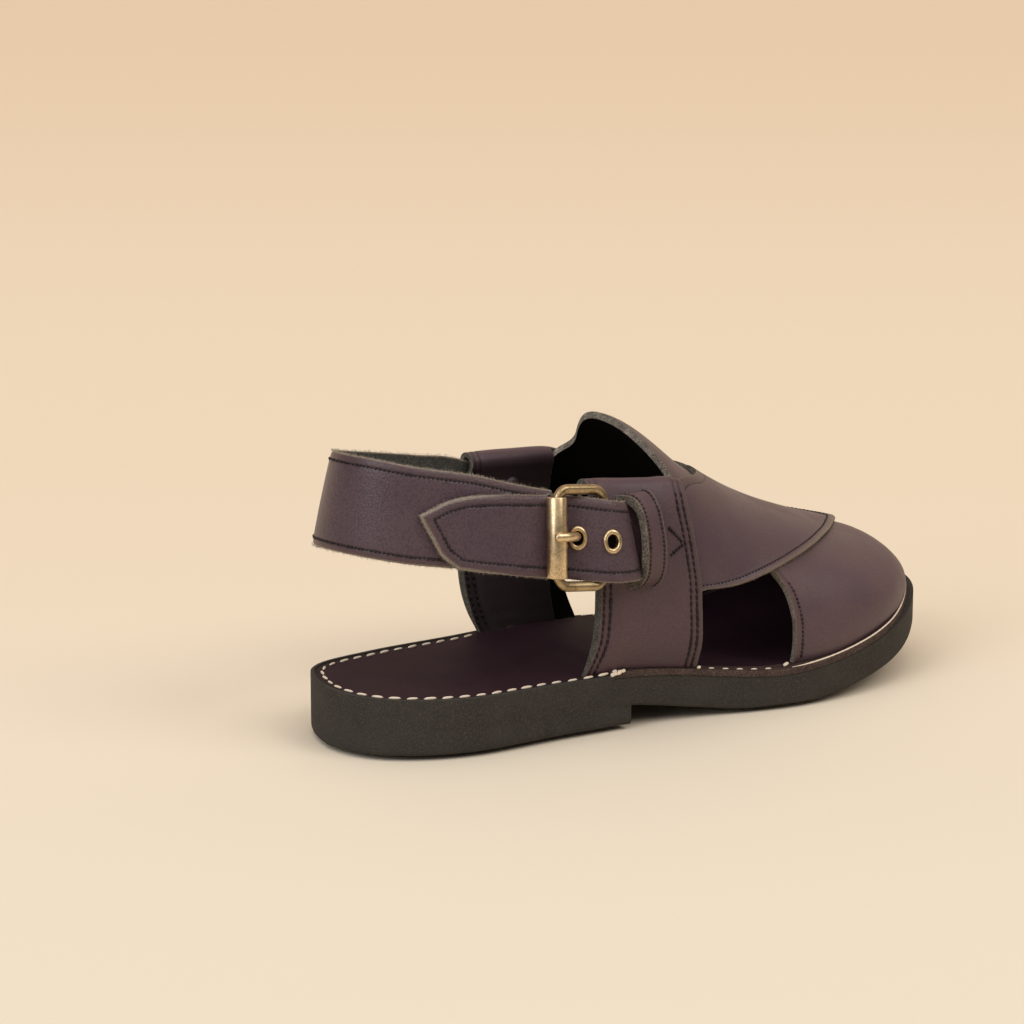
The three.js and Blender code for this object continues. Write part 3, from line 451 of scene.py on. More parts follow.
# Sheet on a grid with an outer face, an inner face and a cut edge; near-equal corners are joined
def make_sheet(name, outer, inner, looks, keep=None, bevel=0.3, edge_mm=None, raw_mm=0.3, floats=None,
               **rest):
    keep = all_faces(outer) if keep is None else keep
    points = np.concatenate([outer.reshape(-1, 3), inner.reshape(-1, 3)])
    keys = np.round(points * JOIN_PER_MM).astype(np.int64)
    _, first, same = np.unique(keys, axis=0, return_index=True, return_inverse=True)
    index = np.arange(outer[..., 0].size).reshape(outer.shape[:2])
    i, j = np.nonzero(keep)
    top = [index[i, j], index[i + 1, j], index[i + 1, j + 1], index[i, j + 1]]
    low = [corner + index.size for corner in top]
    bare = ~np.pad(keep, 1)
    open_sides = (bare[i + 1, j], bare[i + 2, j + 1], bare[i + 1, j + 2], bare[i, j + 1])
    groups = [(np.stack(top, 1), 0), (np.stack(low[::-1], 1), 1)]
    for k, cut in enumerate(open_sides):
        groups.append((np.stack([top[k], low[k], low[k - 3], top[k - 3]], 1)[cut], 2))
    faces, kinds = [], []
    for quads, kind in groups:
        for corners in same.reshape(-1)[quads].tolist():
            clean = [corner for k, corner in enumerate(corners) if corner != corners[k - 1]]
            if len(clean) > 2:
                faces.append(clean)
                kinds.append(kind)
    used = np.unique(np.concatenate(faces))
    place = np.zeros(len(first), int)
    place[used] = np.arange(len(used))
    kept = first[used]
    vertices = points[kept]
    faces = turn_outward(vertices, [place[corners].tolist() for corners in faces])

    def on_both(grid):
        return np.concatenate([grid.reshape(-1)] * 2)[kept]

    attributes = {key: on_both(grid) for key, grid in (floats or {}).items()}
    if edge_mm is not None:
        distance = on_both(edge_mm)
        wide = on_both(np.broadcast_to(raw_mm, edge_mm.shape))
        attributes["raw"] = 1 - smoothstep(distance, wide * RAW_FADE[0], wide * RAW_FADE[1])
        attributes["margin"] = 1 - smoothstep(distance, *MARGIN_FADE)
    make_piece(name, vertices, faces, looks, indices=kinds, bevel=bevel, attributes=attributes, **rest)


# Rings skinned into a tube: the last ring joins the first where it is closed, and the ends are capped if not
def ring_faces(count, sides, closed=False):
    faces = []
    for i in range(count if closed else count - 1):
        for k in range(sides):
            n, m = (i + 1) % count, (k + 1) % sides
            faces.append([i * sides + k, i * sides + m, n * sides + m, n * sides + k])
    return faces


def make_tube(name, rings, looks, closed=False, **rest):
    rings = np.asarray(rings, float)
    count, sides = rings.shape[:2]
    faces = ring_faces(count, sides, closed)
    if not closed:
        faces.append(list(range(sides))[::-1])
        faces.append([(count - 1) * sides + k for k in range(sides)])
    vertices = rings.reshape(-1, 3)
    make_piece(name, vertices, turn_outward(vertices, faces), looks, **rest)


# Steps across a panel, finer beside its cut edges and along its stitch rows
def fine_steps(marks):
    steps = {0.0, 0.35, 0.8}
    for mark in marks:
        steps.update(mark + d for d in (-0.9, -0.45, -0.2, 0, 0.2, 0.45, 0.9))
    return np.array(sorted(s for s in steps if s >= 0))


def margin_roll(distance, width):
    return 0.5 * np.clip(1 - distance / width, 0, 1) ** 2


def edge_chamfer(distance, width):
    return 0.5 * width * np.clip(1 - distance / width, 0, 1) ** 1.5


GROOVE = 0.28


def groove(distance, marks, depth=GROOVE, width=0.42):
    return depth * np.minimum(sum(np.exp(-((distance - mark) / width) ** 2) for mark in marks), 1)


# Thread: a small rounded stitch, repeated along lines that lie on the leather
STITCH = {"around": 7, "along": 6, "blunt": 2.6, "out": 0.45}


def stitch_form():
    angles = circle(STITCH["around"])
    rings = []
    for t in np.linspace(-1, 1, STITCH["along"] + 1):
        width = (1 - abs(t) ** STITCH["blunt"]) ** 0.5
        rings.append(np.stack([np.full(len(angles), t), width * np.cos(angles), width * np.sin(angles)], -1))
    return np.concatenate(rings), np.array(ring_faces(len(rings), len(angles)))


STITCH_POINTS, STITCH_FACES = stitch_form()


def along_line(points, normals, pitch):
    """Places at an even pitch, with the way along and the way out at each."""
    lengths = line_lengths(points)
    at = pitch * (np.arange(max(1, int(lengths[-1] / pitch))) + 0.5)
    out = unit(read_line(at, lengths, np.broadcast_to(normals, points.shape)))
    along = unit(read_line(at + 0.5, lengths, points) - read_line(at - 0.5, lengths, points))
    return read_line(at, lengths, points), along, out


def make_stitches(name, lines, look, slot, pitch, length, radius, slant=0.14, sink=0.15, uneven=0.06):
    blocks = []
    for points, normals in lines:
        place, along, out = along_line(points, normals, pitch)
        across = unit(np.cross(out, along))
        turn = slant + uneven * rng.standard_normal(len(place))
        ahead = along * np.cos(turn)[:, None] + across * np.sin(turn)[:, None]
        size = 1 + uneven * rng.standard_normal((len(place), 1, 1))
        local = STITCH_POINTS * np.array([length / 2, radius, radius]) * size
        centre = place + out * (radius * STITCH["out"] - sink)
        axes = (ahead, np.cross(out, ahead), out)
        form = sum(local[..., k:k + 1] * axis[:, None] for k, axis in enumerate(axes))
        blocks.append(centre[:, None] + form)
    points = np.concatenate(blocks)
    offsets = np.arange(len(points))[:, None, None] * len(STITCH_POINTS)
    faces = (STITCH_FACES + offsets).reshape(-1, 4).tolist()
    make_piece(name, points.reshape(-1, 3), faces, [look], slot, sharp=80)


# Short names for the nodes of a material or a world
class Nodes:
    def __init__(self, tree):
        self.tree = tree

    def node(self, kind, inputs, **settings):
        made = self.tree.nodes.new(kind)
        for key, value in settings.items():
            setattr(made, key, value)
        for key, value in inputs.items():
            self.feed(made.inputs[key], value)
        return made

    def feed(self, target, value):
        if isinstance(value, bpy.types.NodeSocket):
            self.tree.links.new(value, target)
        elif target.type == "RGBA":
            target.default_value = (*value, 1.0)
        else:
            target.default_value = value

    def spread(self, value, low, high, to_low=0.0, to_high=1.0):
        inputs = {"Value": value, "From Min": low, "From Max": high, "To Min": to_low, "To Max": to_high}
        return self.node("ShaderNodeMapRange", inputs, interpolation_type="SMOOTHSTEP").outputs["Result"]

    def colour(self, share, a, b):
        return self.node("ShaderNodeMix", {"Factor": share, 6: a, 7: b}, data_type="RGBA").outputs[2]

    def vector(self, operation, inputs):
        return self.node("ShaderNodeVectorMath", inputs, operation=operation).outputs

    def place(self, kind):
        return self.node("ShaderNodeTexCoord", {}).outputs[kind]


# Materials: textures are set in millimetres on the piece itself
class Look(Nodes):
    def __init__(self, name):
        self.material = bpy.data.materials.new(name)
        self.material.use_nodes = True
        super().__init__(self.material.node_tree)
        self.where = self.vector("SCALE", {0: self.place("Object"), "Scale": 1 / MM})[0]

    def set(self, **values):
        shader = self.tree.nodes["Principled BSDF"]
        for key, value in values.items():
            self.feed(shader.inputs[key.replace("_", " ")], value)

    def noise(self, size, detail, rough):
        inputs = {"Vector": self.where, "Scale": 1 / size, "Detail": detail, "Roughness": rough}
        return self.node("ShaderNodeTexNoise", inputs).outputs["Fac"]

    def cells(self, size):
        inputs = {"Vector": self.where, "Scale": 1 / size}
        return self.node("ShaderNodeTexVoronoi", inputs).outputs["Distance"]

    def attribute(self, name):
        return self.node("ShaderNodeAttribute", {}, attribute_name=name).outputs["Fac"]

    def math(self, operation, a, b):
        return self.node("ShaderNodeMath", {0: a, 1: b}, operation=operation).outputs[0]

    def times(self, a, b):
        return self.math("MULTIPLY", a, b)

    def bump(self, height, distance, strength, under=None):
        inputs = {"Strength": strength, "Distance": distance * MM, "Height": height}
        if under is not None:
            inputs["Normal"] = under
        return self.node("ShaderNodeBump", inputs).outputs["Normal"]


# Plum leather: pebbled grain over a soft mottle, browner along its margins and paler on worn edges. Near
# black along the stitch grooves, partly the seam's own dark and partly painted shade in the groove, and
# painted shade over the inner layers of the folded straps
MARGIN_BROWN = (0.082, 0.046, 0.046)
# Near black along the stitch rows: partly the seam's own dark, partly painted shade in its groove
SEAM_DARK_AND_SHADE = (0.012, 0.006, 0.008)
# Painted shade: near black laid over the inner layers of the folded straps and over the knob
PAINTED_INNER_SHADE = (0.006, 0.004, 0.005)


def leather_look(name, base, warm, deep, raw, pebble, grain, gloss):
    look = Look(name)
    mottle = look.spread(look.noise(26, 4, 0.6), 0.32, 0.68)
    fine = look.noise(0.5, 4, 0.7)
    pits = look.cells(pebble)
    worn = look.spread(fine, 0.36, 0.6, 0.2, 0.95)
    tint = look.colour(mottle, base, warm)
    tint = look.colour(look.spread(pits, 0.3, 0.8, 0, 0.5), tint, deep)
    # Covers in turn: browner margins; the seam's own dark with painted shade in its groove; paler raw edges
    # where worn; painted shade on the inner layers
    covers = (("margin", 0.45, MARGIN_BROWN), ("seam", 0.6, SEAM_DARK_AND_SHADE), ("raw", worn, raw),
              ("inside", 0.8, PAINTED_INNER_SHADE))
    for attribute, share, cover in covers:
        tint = look.colour(look.times(look.attribute(attribute), share), tint, cover)
    uneven = look.math("ADD", look.times(mottle, 0.4), fine)
    look.set(Base_Color=tint, Roughness=look.spread(uneven, 0.3, 1.1, gloss - 0.06, gloss + 0.1))
    waves = look.bump(look.noise(14, 2, 0.5), 0.5, 0.1)
    grained = look.bump(pits, 0.2, grain, waves)
    look.set(Specular_IOR_Level=0.4, Normal=look.bump(fine, 0.06, 0.4, grained))
    return look.material


def lining_look(name, base, pale, nap, sheen):
    look = Look(name)
    fuzz = look.noise(nap, 5, 0.75)
    patch = look.spread(look.noise(7, 3, 0.6), 0.2, 0.8, 0.5, 1.0)
    share = look.times(look.spread(fuzz, 0.35, 0.75), patch)
    look.set(Base_Color=look.colour(share, base, pale), Roughness=0.95, Specular_IOR_Level=0.08)
    look.set(Sheen_Weight=sheen, Sheen_Roughness=0.6, Normal=look.bump(fuzz, 0.25, 0.7))
    return look.material


# Cut edge of the leather: grey and tan fibres in two layers
def edge_look(name, dark, pale):
    look = Look(name)
    fibre = look.noise(0.55, 5, 0.8)
    patch = look.spread(look.noise(5, 3, 0.6), 0.25, 0.75, 0.4, 1.0)
    share = look.times(look.spread(fibre, 0.4, 0.6), patch)
    look.set(Base_Color=look.colour(share, dark, pale), Roughness=0.92, Specular_IOR_Level=0.2)
    look.set(Normal=look.bump(fibre, 0.5, 0.9))
    return look.material


def rubber_look(name, dark, pale, dust):
    look = Look(name)
    speck = look.noise(0.7, 4, 0.75)
    cloud = look.noise(14, 3, 0.6)
    tint = look.colour(look.spread(speck, 0.45, 0.75), dark, pale)
    tint = look.colour(look.spread(cloud, 0.35, 0.7, 0, 0.35), tint, dust)
    look.set(Base_Color=tint, Roughness=0.86, Specular_IOR_Level=0.3)
    coarse = look.bump(look.noise(2.2, 4, 0.7), 0.3, 0.35)
    look.set(Normal=look.bump(look.math("ADD", speck, look.cells(0.9)), 0.14, 0.5, coarse))
    return look.material


# Insole leather: plum, and dark grey outside its seam
def insole_look(name, base, warm, grey):
    look = Look(name)
    fine = look.noise(0.5, 4, 0.7)
    tint = look.colour(look.spread(look.noise(22, 4, 0.6), 0.3, 0.7), base, warm)
    tint = look.colour(look.spread(look.attribute("rim_mm"), 2.6, 3.4, 0.85, 0.0), tint, grey)
    look.set(Base_Color=tint, Roughness=look.spread(fine, 0.3, 0.7, 0.58, 0.7), Specular_IOR_Level=0.07)
    waves = look.bump(look.noise(8, 2, 0.5), 0.5, 0.2)
    look.set(Normal=look.bump(fine, 0.07, 0.4, waves))
    return look.material


def brass_look(name, deep, pale):
    look = Look(name)
    stain = look.noise(0.8, 4, 0.65)
    blend = look.math("ADD", look.times(stain, 0.45), look.times(look.noise(6, 3, 0.6), 0.55))
    look.set(Base_Color=look.colour(look.spread(blend, 0.36, 0.6), deep, pale), Metallic=1.0)
    look.set(Roughness=look.spread(stain, 0.3, 0.7, 0.4, 0.29), Normal=look.bump(stain, 0.05, 0.25))
    return look.material


def thread_look(name, base, deep, gloss):
    look = Look(name)
    twist = look.noise(0.35, 3, 0.6)
    look.set(Base_Color=look.colour(twist, deep, base), Roughness=gloss, Specular_IOR_Level=0.35)
    look.set(Normal=look.bump(twist, 0.12, 0.6))
    return look.material


VAMP = leather_look("vamp_leather", (0.087, 0.053, 0.067), (0.106, 0.063, 0.067), (0.062, 0.036, 0.047),
                    (0.17, 0.13, 0.1), pebble=0.6, grain=0.12, gloss=0.43)
SADDLE = leather_look("saddle_leather", (0.077, 0.046, 0.06), (0.09, 0.053, 0.059), (0.056, 0.032, 0.043),
                      (0.17, 0.13, 0.1), pebble=0.6, grain=0.12, gloss=0.43)
STRAP = leather_look("strap_leather", (0.075, 0.0465, 0.061), (0.084, 0.051, 0.062), (0.034, 0.019, 0.027),
                     (0.27, 0.225, 0.17), pebble=0.82, grain=0.6, gloss=0.37)
STRAP_SMOOTH = leather_look("side_leather", (0.077, 0.044, 0.058), (0.091, 0.05, 0.057), (0.05, 0.027, 0.038),
                            (0.16, 0.13, 0.105), pebble=0.7, grain=0.2, gloss=0.45)
INSOLE = insole_look("insole_leather", (0.0245, 0.0108, 0.017), (0.03, 0.0138, 0.0198),
                     (0.022, 0.018, 0.0165))
# Black lining, partly its own black and partly painted shade: its colour is near zero to stand in for the
# shade inside the shoe
LINING_AND_SHADE = lining_look("black_lining_and_shade", (0.002, 0.0018, 0.0014), (0.007, 0.006, 0.005), nap=0.6, sheen=0.0)
SUEDE = lining_look("grey_suede", (0.022, 0.022, 0.02), (0.17, 0.168, 0.15), nap=0.9, sheen=0.2)
PALE_EDGE = edge_look("pale_edge", (0.055, 0.05, 0.043), (0.44, 0.385, 0.325))
GREY_EDGE = edge_look("grey_edge", (0.04, 0.038, 0.033), (0.22, 0.21, 0.18))
TAN_EDGE = edge_look("tan_edge", (0.08, 0.062, 0.05), (0.34, 0.29, 0.22))
DARK_EDGE = edge_look("dark_edge", (0.042, 0.037, 0.031), (0.36, 0.305, 0.25))
WELT_EDGE = edge_look("welt_edge", (0.04, 0.026, 0.023), (0.15, 0.105, 0.086))
WELT_TOP = edge_look("welt_top", (0.04, 0.022, 0.02), (0.1, 0.062, 0.052))
RUBBER = rubber_look("foam_rubber", (0.029, 0.025, 0.021), (0.071, 0.062, 0.052), (0.05, 0.046, 0.039))
BRASS = brass_look("antique_brass", (0.38, 0.275, 0.155), (0.78, 0.6, 0.365))
FRAME_BRASS = brass_look("frame_brass", (0.21, 0.147, 0.08), (0.45, 0.335, 0.19))
DARK_THREAD = thread_look("dark_thread", (0.019, 0.009, 0.0115), (0.005, 0.0024, 0.0034), gloss=0.55)
IVORY_THREAD = thread_look("ivory_thread", (0.9, 0.78, 0.64), (0.66, 0.53, 0.41), gloss=0.6)
FIBRE = thread_look("loose_fibre", (0.45, 0.39, 0.31), (0.2, 0.17, 0.13), gloss=0.8)

# Sole: rubber blocks with softened edges, and a small dent where the welt starts
WALL_CUT = {"front": 1.4, "heel": 0.01, "breast": 0.4, "reach": 7}
LIFT_CUT = 2.2
DENT = {"depth": 0.4, "width": 0.8, "reach": 2.5}


def sole_rings(turns, low, high, bottom_cut, top_cut, dent=0.0):
    corner = np.radians([90, 60, 30, 0])
    rings = []
    for turn, at in zip(turns, sole_x(turns)):
        left, right = sole_lateral(turn), sole_medial(turn)
        left = left - dent * math.exp(-((at - WELT_START) / DENT["width"]) ** 2)
        bottom, top, deep = low(at), high(at), bottom_cut(at)
        cut, lip = (min(size, left / 2, right / 2) for size in (deep, top_cut))
        half = [(cut * (1 - math.cos(a)), bottom + deep * (1 - math.sin(a))) for a in corner]
        half += [(0, mix(bottom + deep, top, share)) for share in (0.33, 0.66)]
        half += [(0, top - lip), (lip, top)]
        ring = [(at, right - inward, z) for inward, z in half]
        ring += [(at, inward - left, z) for inward, z in half[::-1]]
        rings.append(ring[-len(corner):] + ring[:-len(corner)])
    return rings


def wall_cut(x):
    if x > HEEL_BREAST:
        return WALL_CUT["front"]
    return WALL_CUT["heel"] + WALL_CUT["breast"] * smoothstep(x, HEEL_BREAST - WALL_CUT["reach"], HEEL_BREAST)


def build_sole():
    breast = sole_turn(HEEL_BREAST)
    crease = sole_turn(WELT_START + np.linspace(-DENT["reach"], DENT["reach"], 21))
    turns = [np.linspace(0.002, 0.998, 240), crease, breast + np.array([-2e-4, 2e-4])]
    turns = np.unique(np.concatenate(turns))
    outsole = sole_rings(turns, sole_bottom, sole_top, wall_cut, 0.02, DENT["depth"])
    make_tube("sole", outsole, [RUBBER], node="outsole", slot="sole_rubber")
    lift = sole_rings(np.linspace(0.002, breast, 120), lambda x: 0.0, sole_bottom, lambda x: LIFT_CUT, 0.0)
    make_tube("heel_block", lift, [RUBBER], node="heel_lift", slot="sole_rubber")


# Strips along the edge of the sole: the rubber lip that holds the heel of the insole, and the welt
RIM_WIDTH = 1.5
SOLE_SKIN = 0.02
WELT_RIM = {"side": 0.5, "toe_more": 2.2, "from": 226, "to": 272}


def make_strip(name, walk, insets, rise, soft, under, looks, **rest):
    """Strip of rows from the edge inward; soft lowers the outermost row."""
    flat = np.stack([inset_edge(walk, inset) for inset in insets], 1)
    lowered = soft * (np.arange(len(insets)) == 0)
    make_sheet(name, on_sole(flat, rise(flat[..., 0]) - lowered), on_sole(flat, under), looks, **rest)


def build_rim():
    reach = sole_turn(WELT_START + 0.4)
    walk = np.concatenate([np.linspace(reach - 1, -1, 160), np.linspace(1, 1 - reach, 160)[1:]])
    insets = [RIM_WIDTH * share for share in (0, 0.2, 0.6, 1)]
    make_strip("sole_rim", np.clip(walk, -0.9985, 0.9985), insets, rim_rise, 0.25, 0.0, [RUBBER] * 3,
               node="outsole", slot="sole_rubber", bevel=0)


def welt_rim(x):
    """Inset of the welt, wider at the toe."""
    return WELT_RIM["side"] + WELT_RIM["toe_more"] * smoothstep(x, WELT_RIM["from"], WELT_RIM["to"])


def build_welt():
    walk = (1 - sole_turn(WELT_START - 0.6)) * np.linspace(-1, 1, 300)
    outer = welt_rim(sole_edge(walk)[:, 0])
    insets = [mix(outer, WELT_WIDTH, share) for share in (0, 0.06, 0.25, 0.5, 0.75, 1)]
    make_strip("welt_strip", walk, insets, lambda x: GAP + WELT_THICKNESS, 0.35, SOLE_SKIN,
               [WELT_TOP, WELT_EDGE, WELT_EDGE], node="welt", slot="welt_leather", bevel=0.25)


# Insole: a leather sole with a soft hollow under the heel
INSOLE_MARGIN = np.array([0, 0.4, 1, 1.7, 2.2, 2.6, 3.0, 3.4, 4.2, 5.5, 7.5])
INSOLE_INSET = {"heel": 1.3, "front": WELT_WIDTH + 0.4}
INSOLE_SEAM = {"at": 3.4, "depth": 0.06, "width": 0.9}
INSOLE_HOLLOW = 0.2


def build_insole():
    turns = np.concatenate([np.linspace(0.004, 0.12, 40), np.linspace(0.125, 0.955, 150)])
    x = sole_x(turns)
    forward = smoothstep(x, WELT_START + 0.4, WELT_START + 1.4)
    inset = mix(INSOLE_INSET["heel"], INSOLE_INSET["front"], forward) * np.minimum(1, turns / 0.02)
    left, right = inset_edge(turns - 1, inset), inset_edge(1 - turns, inset)
    wide = np.linalg.norm(right - left, axis=1)[:, None]
    near = INSOLE_MARGIN * np.minimum(1, wide / 2 / (INSOLE_MARGIN[-1] + 1))
    body = mix(near[:, -1:], wide - near[:, -1:], np.linspace(0, 1, 22)[None, 1:-1])
    across = np.concatenate([near, body, wide - near[:, ::-1]], 1) / wide
    flat = left[:, None] + (right - left)[:, None] * across[..., None]
    flat[..., 0] = np.maximum(flat[..., 0], 1.2)
    rim = nearest(flat, sole_edge(np.linspace(-1, 1, 900))) - 0.6
    hollow = INSOLE_HOLLOW * np.sin(math.pi * across) * smoothstep(x, 4, 40)[:, None]
    seam = groove(rim, [INSOLE_SEAM["at"]], INSOLE_SEAM["depth"], INSOLE_SEAM["width"])
    seam *= (x < WELT_START - 2)[:, None]
    top = on_sole(flat, GAP + insole_rise(flat[..., 0]) - hollow - seam)
    make_sheet("insole_sheet", top, on_sole(flat, SOLE_SKIN), [INSOLE] * 3, node="insole",
               slot="insole_leather", bevel=0, floats={"rim_mm": rim})


# Upper: toe cap, tongue and legs in one shell
UPPER_WAYS = [0, 0.07, 0.14, 0.2, 0.26, 0.32, 0.38, 0.44, 0.5, LEG_TOP, WINDOW_TOP,
              0.64, 0.69, 0.75, 0.8, 0.86, 0.93, 1]
TONGUE_SWELL = {"depth": 0.8, "fade": 7}
CAP_SWELL = {"depth": 0.9, "fade": 5}
FAR = 30.0


def swell(distance, how):
    """Extra thickness of the leather that fades away from a cut edge."""
    return how["depth"] * np.exp(-np.maximum(distance, 0) / how["fade"])


def between_ways(ways):
    return np.abs(ways[1:] + ways[:-1]) / 2


def build_upper():
    ways = both_sides(refine(UPPER_WAYS, 4))
    around = np.abs(ways)
    tongue = np.where(ways > 0, curve(TONGUE_EDGE_MEDIAL)(around), curve(TONGUE_EDGE)(around))
    cap = curve(CAP_EDGE)(around)
    beside = fine_steps([UPPER_MARK])[:, None]
    inner_edge = tongue + beside[-1]
    front = np.maximum(LEG_FRONT, WAIST_LINE["ridge"] - WAIST_LINE["fall"] * around)
    front = np.maximum(front, inner_edge + WAIST_LINE["clear"])
    legs = np.linspace(LEG_REAR, tongue, 9)[:-1]
    waist = np.concatenate([tongue + beside, np.linspace(inner_edge, front, 12)[1:-1]])
    sides = np.linspace(front, cap, 14)[:-1]
    toe = last_x(np.linspace(last_turn(cap + beside[-1]), 1, 44)[1:])
    x = np.concatenate([legs, waist, sides, cap + beside, toe])
    waist_end = len(legs) + len(waist)
    cap_start = waist_end + len(sides)
    low = around > WINDOW_TOP - 0.001
    capped = x > cap - 0.01
    from_edge = np.full(x.shape, FAR)
    from_edge[len(legs):waist_end] = waist - tongue
    from_edge[cap_start:] = np.where(low, x[cap_start:] - cap, FAR)
    thick = swell(x - tongue, TONGUE_SWELL) * (around < LEG_TOP) + swell(x - cap, CAP_SWELL) * low * capped
    outer = last_offset(x, ways, LEATHER - groove(from_edge, [UPPER_MARK]) * capped)
    inner = last_offset(x, ways, -thick)
    tip = last_point(1.0, 0.0)
    outer[-1] = (tip[0] + LEATHER, tip[1], seat(tip[0] + LEATHER))
    inner[-1] = tip
    keep = all_faces(x)
    keep[:len(legs)] = between_ways(ways) > LEG_TOP
    keep[waist_end:cap_start] = between_ways(ways) < WINDOW_TOP
    make_sheet("upper_shell", outer, inner, [VAMP, LINING_AND_SHADE, PALE_EDGE], keep, node="upper",
               slot="upper_leather", edge_mm=from_edge)
    way = np.linspace(0.66, 0.995, 60)
    at = curve(CAP_EDGE)(way) + UPPER_MARK
    return [seam_line(at, side * way, LEATHER) for side in (-1, 1)]


# Overlay: the saddle over the instep, with a thicker front lip
OVERLAY_WAYS = [0, 0.06, 0.12, 0.18, 0.24, 0.3, 0.36, 0.42, 0.47, 0.52, LEG_TOP, 0.62, 0.67, 0.72, 0.76, 0.8]
SADDLE_FORM = {"skin": 2 * LEATHER + 0.45, "back": LEATHER + 0.15, "lip": 0.8, "chamfer": 1.6}
REAR_SEAM_END = 0.5


def saddle_lip(to_front):
    """Extra thickness of the saddle towards its front edge."""
    return SADDLE_FORM["lip"] * (1 - smoothstep(to_front, 0.5, 7.0))


def build_overlay():
    ways = both_sides(refine(OVERLAY_WAYS, 4))
    around = np.abs(ways)
    rear, front = curve(OVERLAY_REAR)(around), curve(OVERLAY_FRONT)(around)
    behind = fine_steps([OVERLAY_REAR_MARK])[:, None]
    beside = fine_steps([OVERLAY_MARK])[:, None]
    share = np.minimum(1, (front - rear) / (behind[-1] + beside[-1] + 1))
    wings = np.linspace(WING_REAR, rear, 11)[:-1]
    body = np.linspace(rear + behind[-1] * share, front - beside[-1] * share, 40)[1:-1]
    x = np.concatenate([wings, rear + behind * share, body, front - beside[::-1] * share])
    to_front, to_rear = front - x, x - rear
    sewn = around < REAR_SEAM_END
    dip = groove(to_front, [OVERLAY_MARK], 0.22) + groove(to_rear, [OVERLAY_REAR_MARK], 0.6, 0.5) * sewn
    # Dark tint along both seams: partly the seam's own dark, partly painted shade in the grooves
    seam = groove(to_front, [OVERLAY_MARK], 0.5) + groove(to_rear, [OVERLAY_REAR_MARK], 1.0, 0.4) * sewn
    skin = SADDLE_FORM["skin"] - dip - edge_chamfer(to_front, SADDLE_FORM["chamfer"]) + saddle_lip(to_front)
    keep = all_faces(x)
    keep[:len(wings)] = between_ways(ways) > LEG_TOP
    make_sheet("saddle", last_offset(x, ways, skin), last_offset(x, ways, SADDLE_FORM["back"]),
               [SADDLE, LINING_AND_SHADE, GREY_EDGE], keep, node="vamp_overlay", slot="upper_leather",
               edge_mm=np.minimum(to_front, np.abs(to_rear)), raw_mm=np.where(to_front < 10, 1.5, 0.6),
               floats={"seam": seam})
    way = np.linspace(-0.79, 0.79, 400)
    at = curve(OVERLAY_FRONT)(np.abs(way)) - OVERLAY_MARK
    return [seam_line(at, way, 2 * LEATHER + 0.3 + saddle_lip(OVERLAY_MARK))]


# Side straps: up the outside, folded over the leg and down the inside, in two layers about a middle
# The layers close on each other behind the leg of the upper and tuck in above the welt
STRAP_MIDDLE = LEATHER + GAP / 2
FOOT_SUNK = 0.6
FOLD_ROWS = {"rise": 60, "turn": 14, "drop": 50}
THREAD_SUNK = 0.18
PINCH = (3.2, 8.0)
TUCK_WAY = (0.86, 1.0)
FOOT_WAY = (0.8, 1.0)
RIPPLE = 0.22
NEAR_LEFT = 10
NOT_NEAR = 20.0


def strap_faces(x, to_left, around, fold_round, outside=True):
    """Heights of the outer and inner face of a layer over the middle between the layers."""
    pinch = (1 - smoothstep(to_left, *PINCH)) * smoothstep(around - fold_round, 0.0, 0.12)
    tuck = smoothstep(around, *TUCK_WAY) * outside
    foot = mix(0.35, 1.2, smoothstep(x, WELT_START - 2, WELT_START + 3))
    skin = mix(STRAP_MIDDLE + GAP * 1.5 + LEATHER, LEATHER + 0.15, pinch)
    back = mix(STRAP_MIDDLE + GAP, 0.03, pinch)
    return mix(skin, foot, tuck), mix(back, foot - LEATHER, tuck)


def strap_point(x, way, offset, fold, outside=True):
    """Point on a side strap, its foot brought down from the last to the insole and its fold lifted."""
    point = last_offset(x, way, offset)
    low = WELT_THICKNESS + GAP + (0.0 if outside else FOOT_SUNK) - insole_rise(x)
    point[..., 2] -= low * smoothstep(np.abs(way), *FOOT_WAY)
    point[..., 2] += curve(fold["lift"])(x) * (1 - smoothstep(np.abs(way) - fold["round"], 0.0, 0.16))
    return point


def strap_ripple(x, way, to_left, fold):
    """Soft waves on the inner layer, away from its edge and its fold."""
    height = last_point(last_turn(x), way)[:, 2]
    waves = RIPPLE * np.sin(height * 1.15 + 0.11 * x + 0.6 * np.sin(x * 0.21 + np.sign(way)))
    return waves * smoothstep(to_left, 6, 12) * 0.6 * smoothstep(np.abs(way) - fold["round"], 0.02, 0.12)


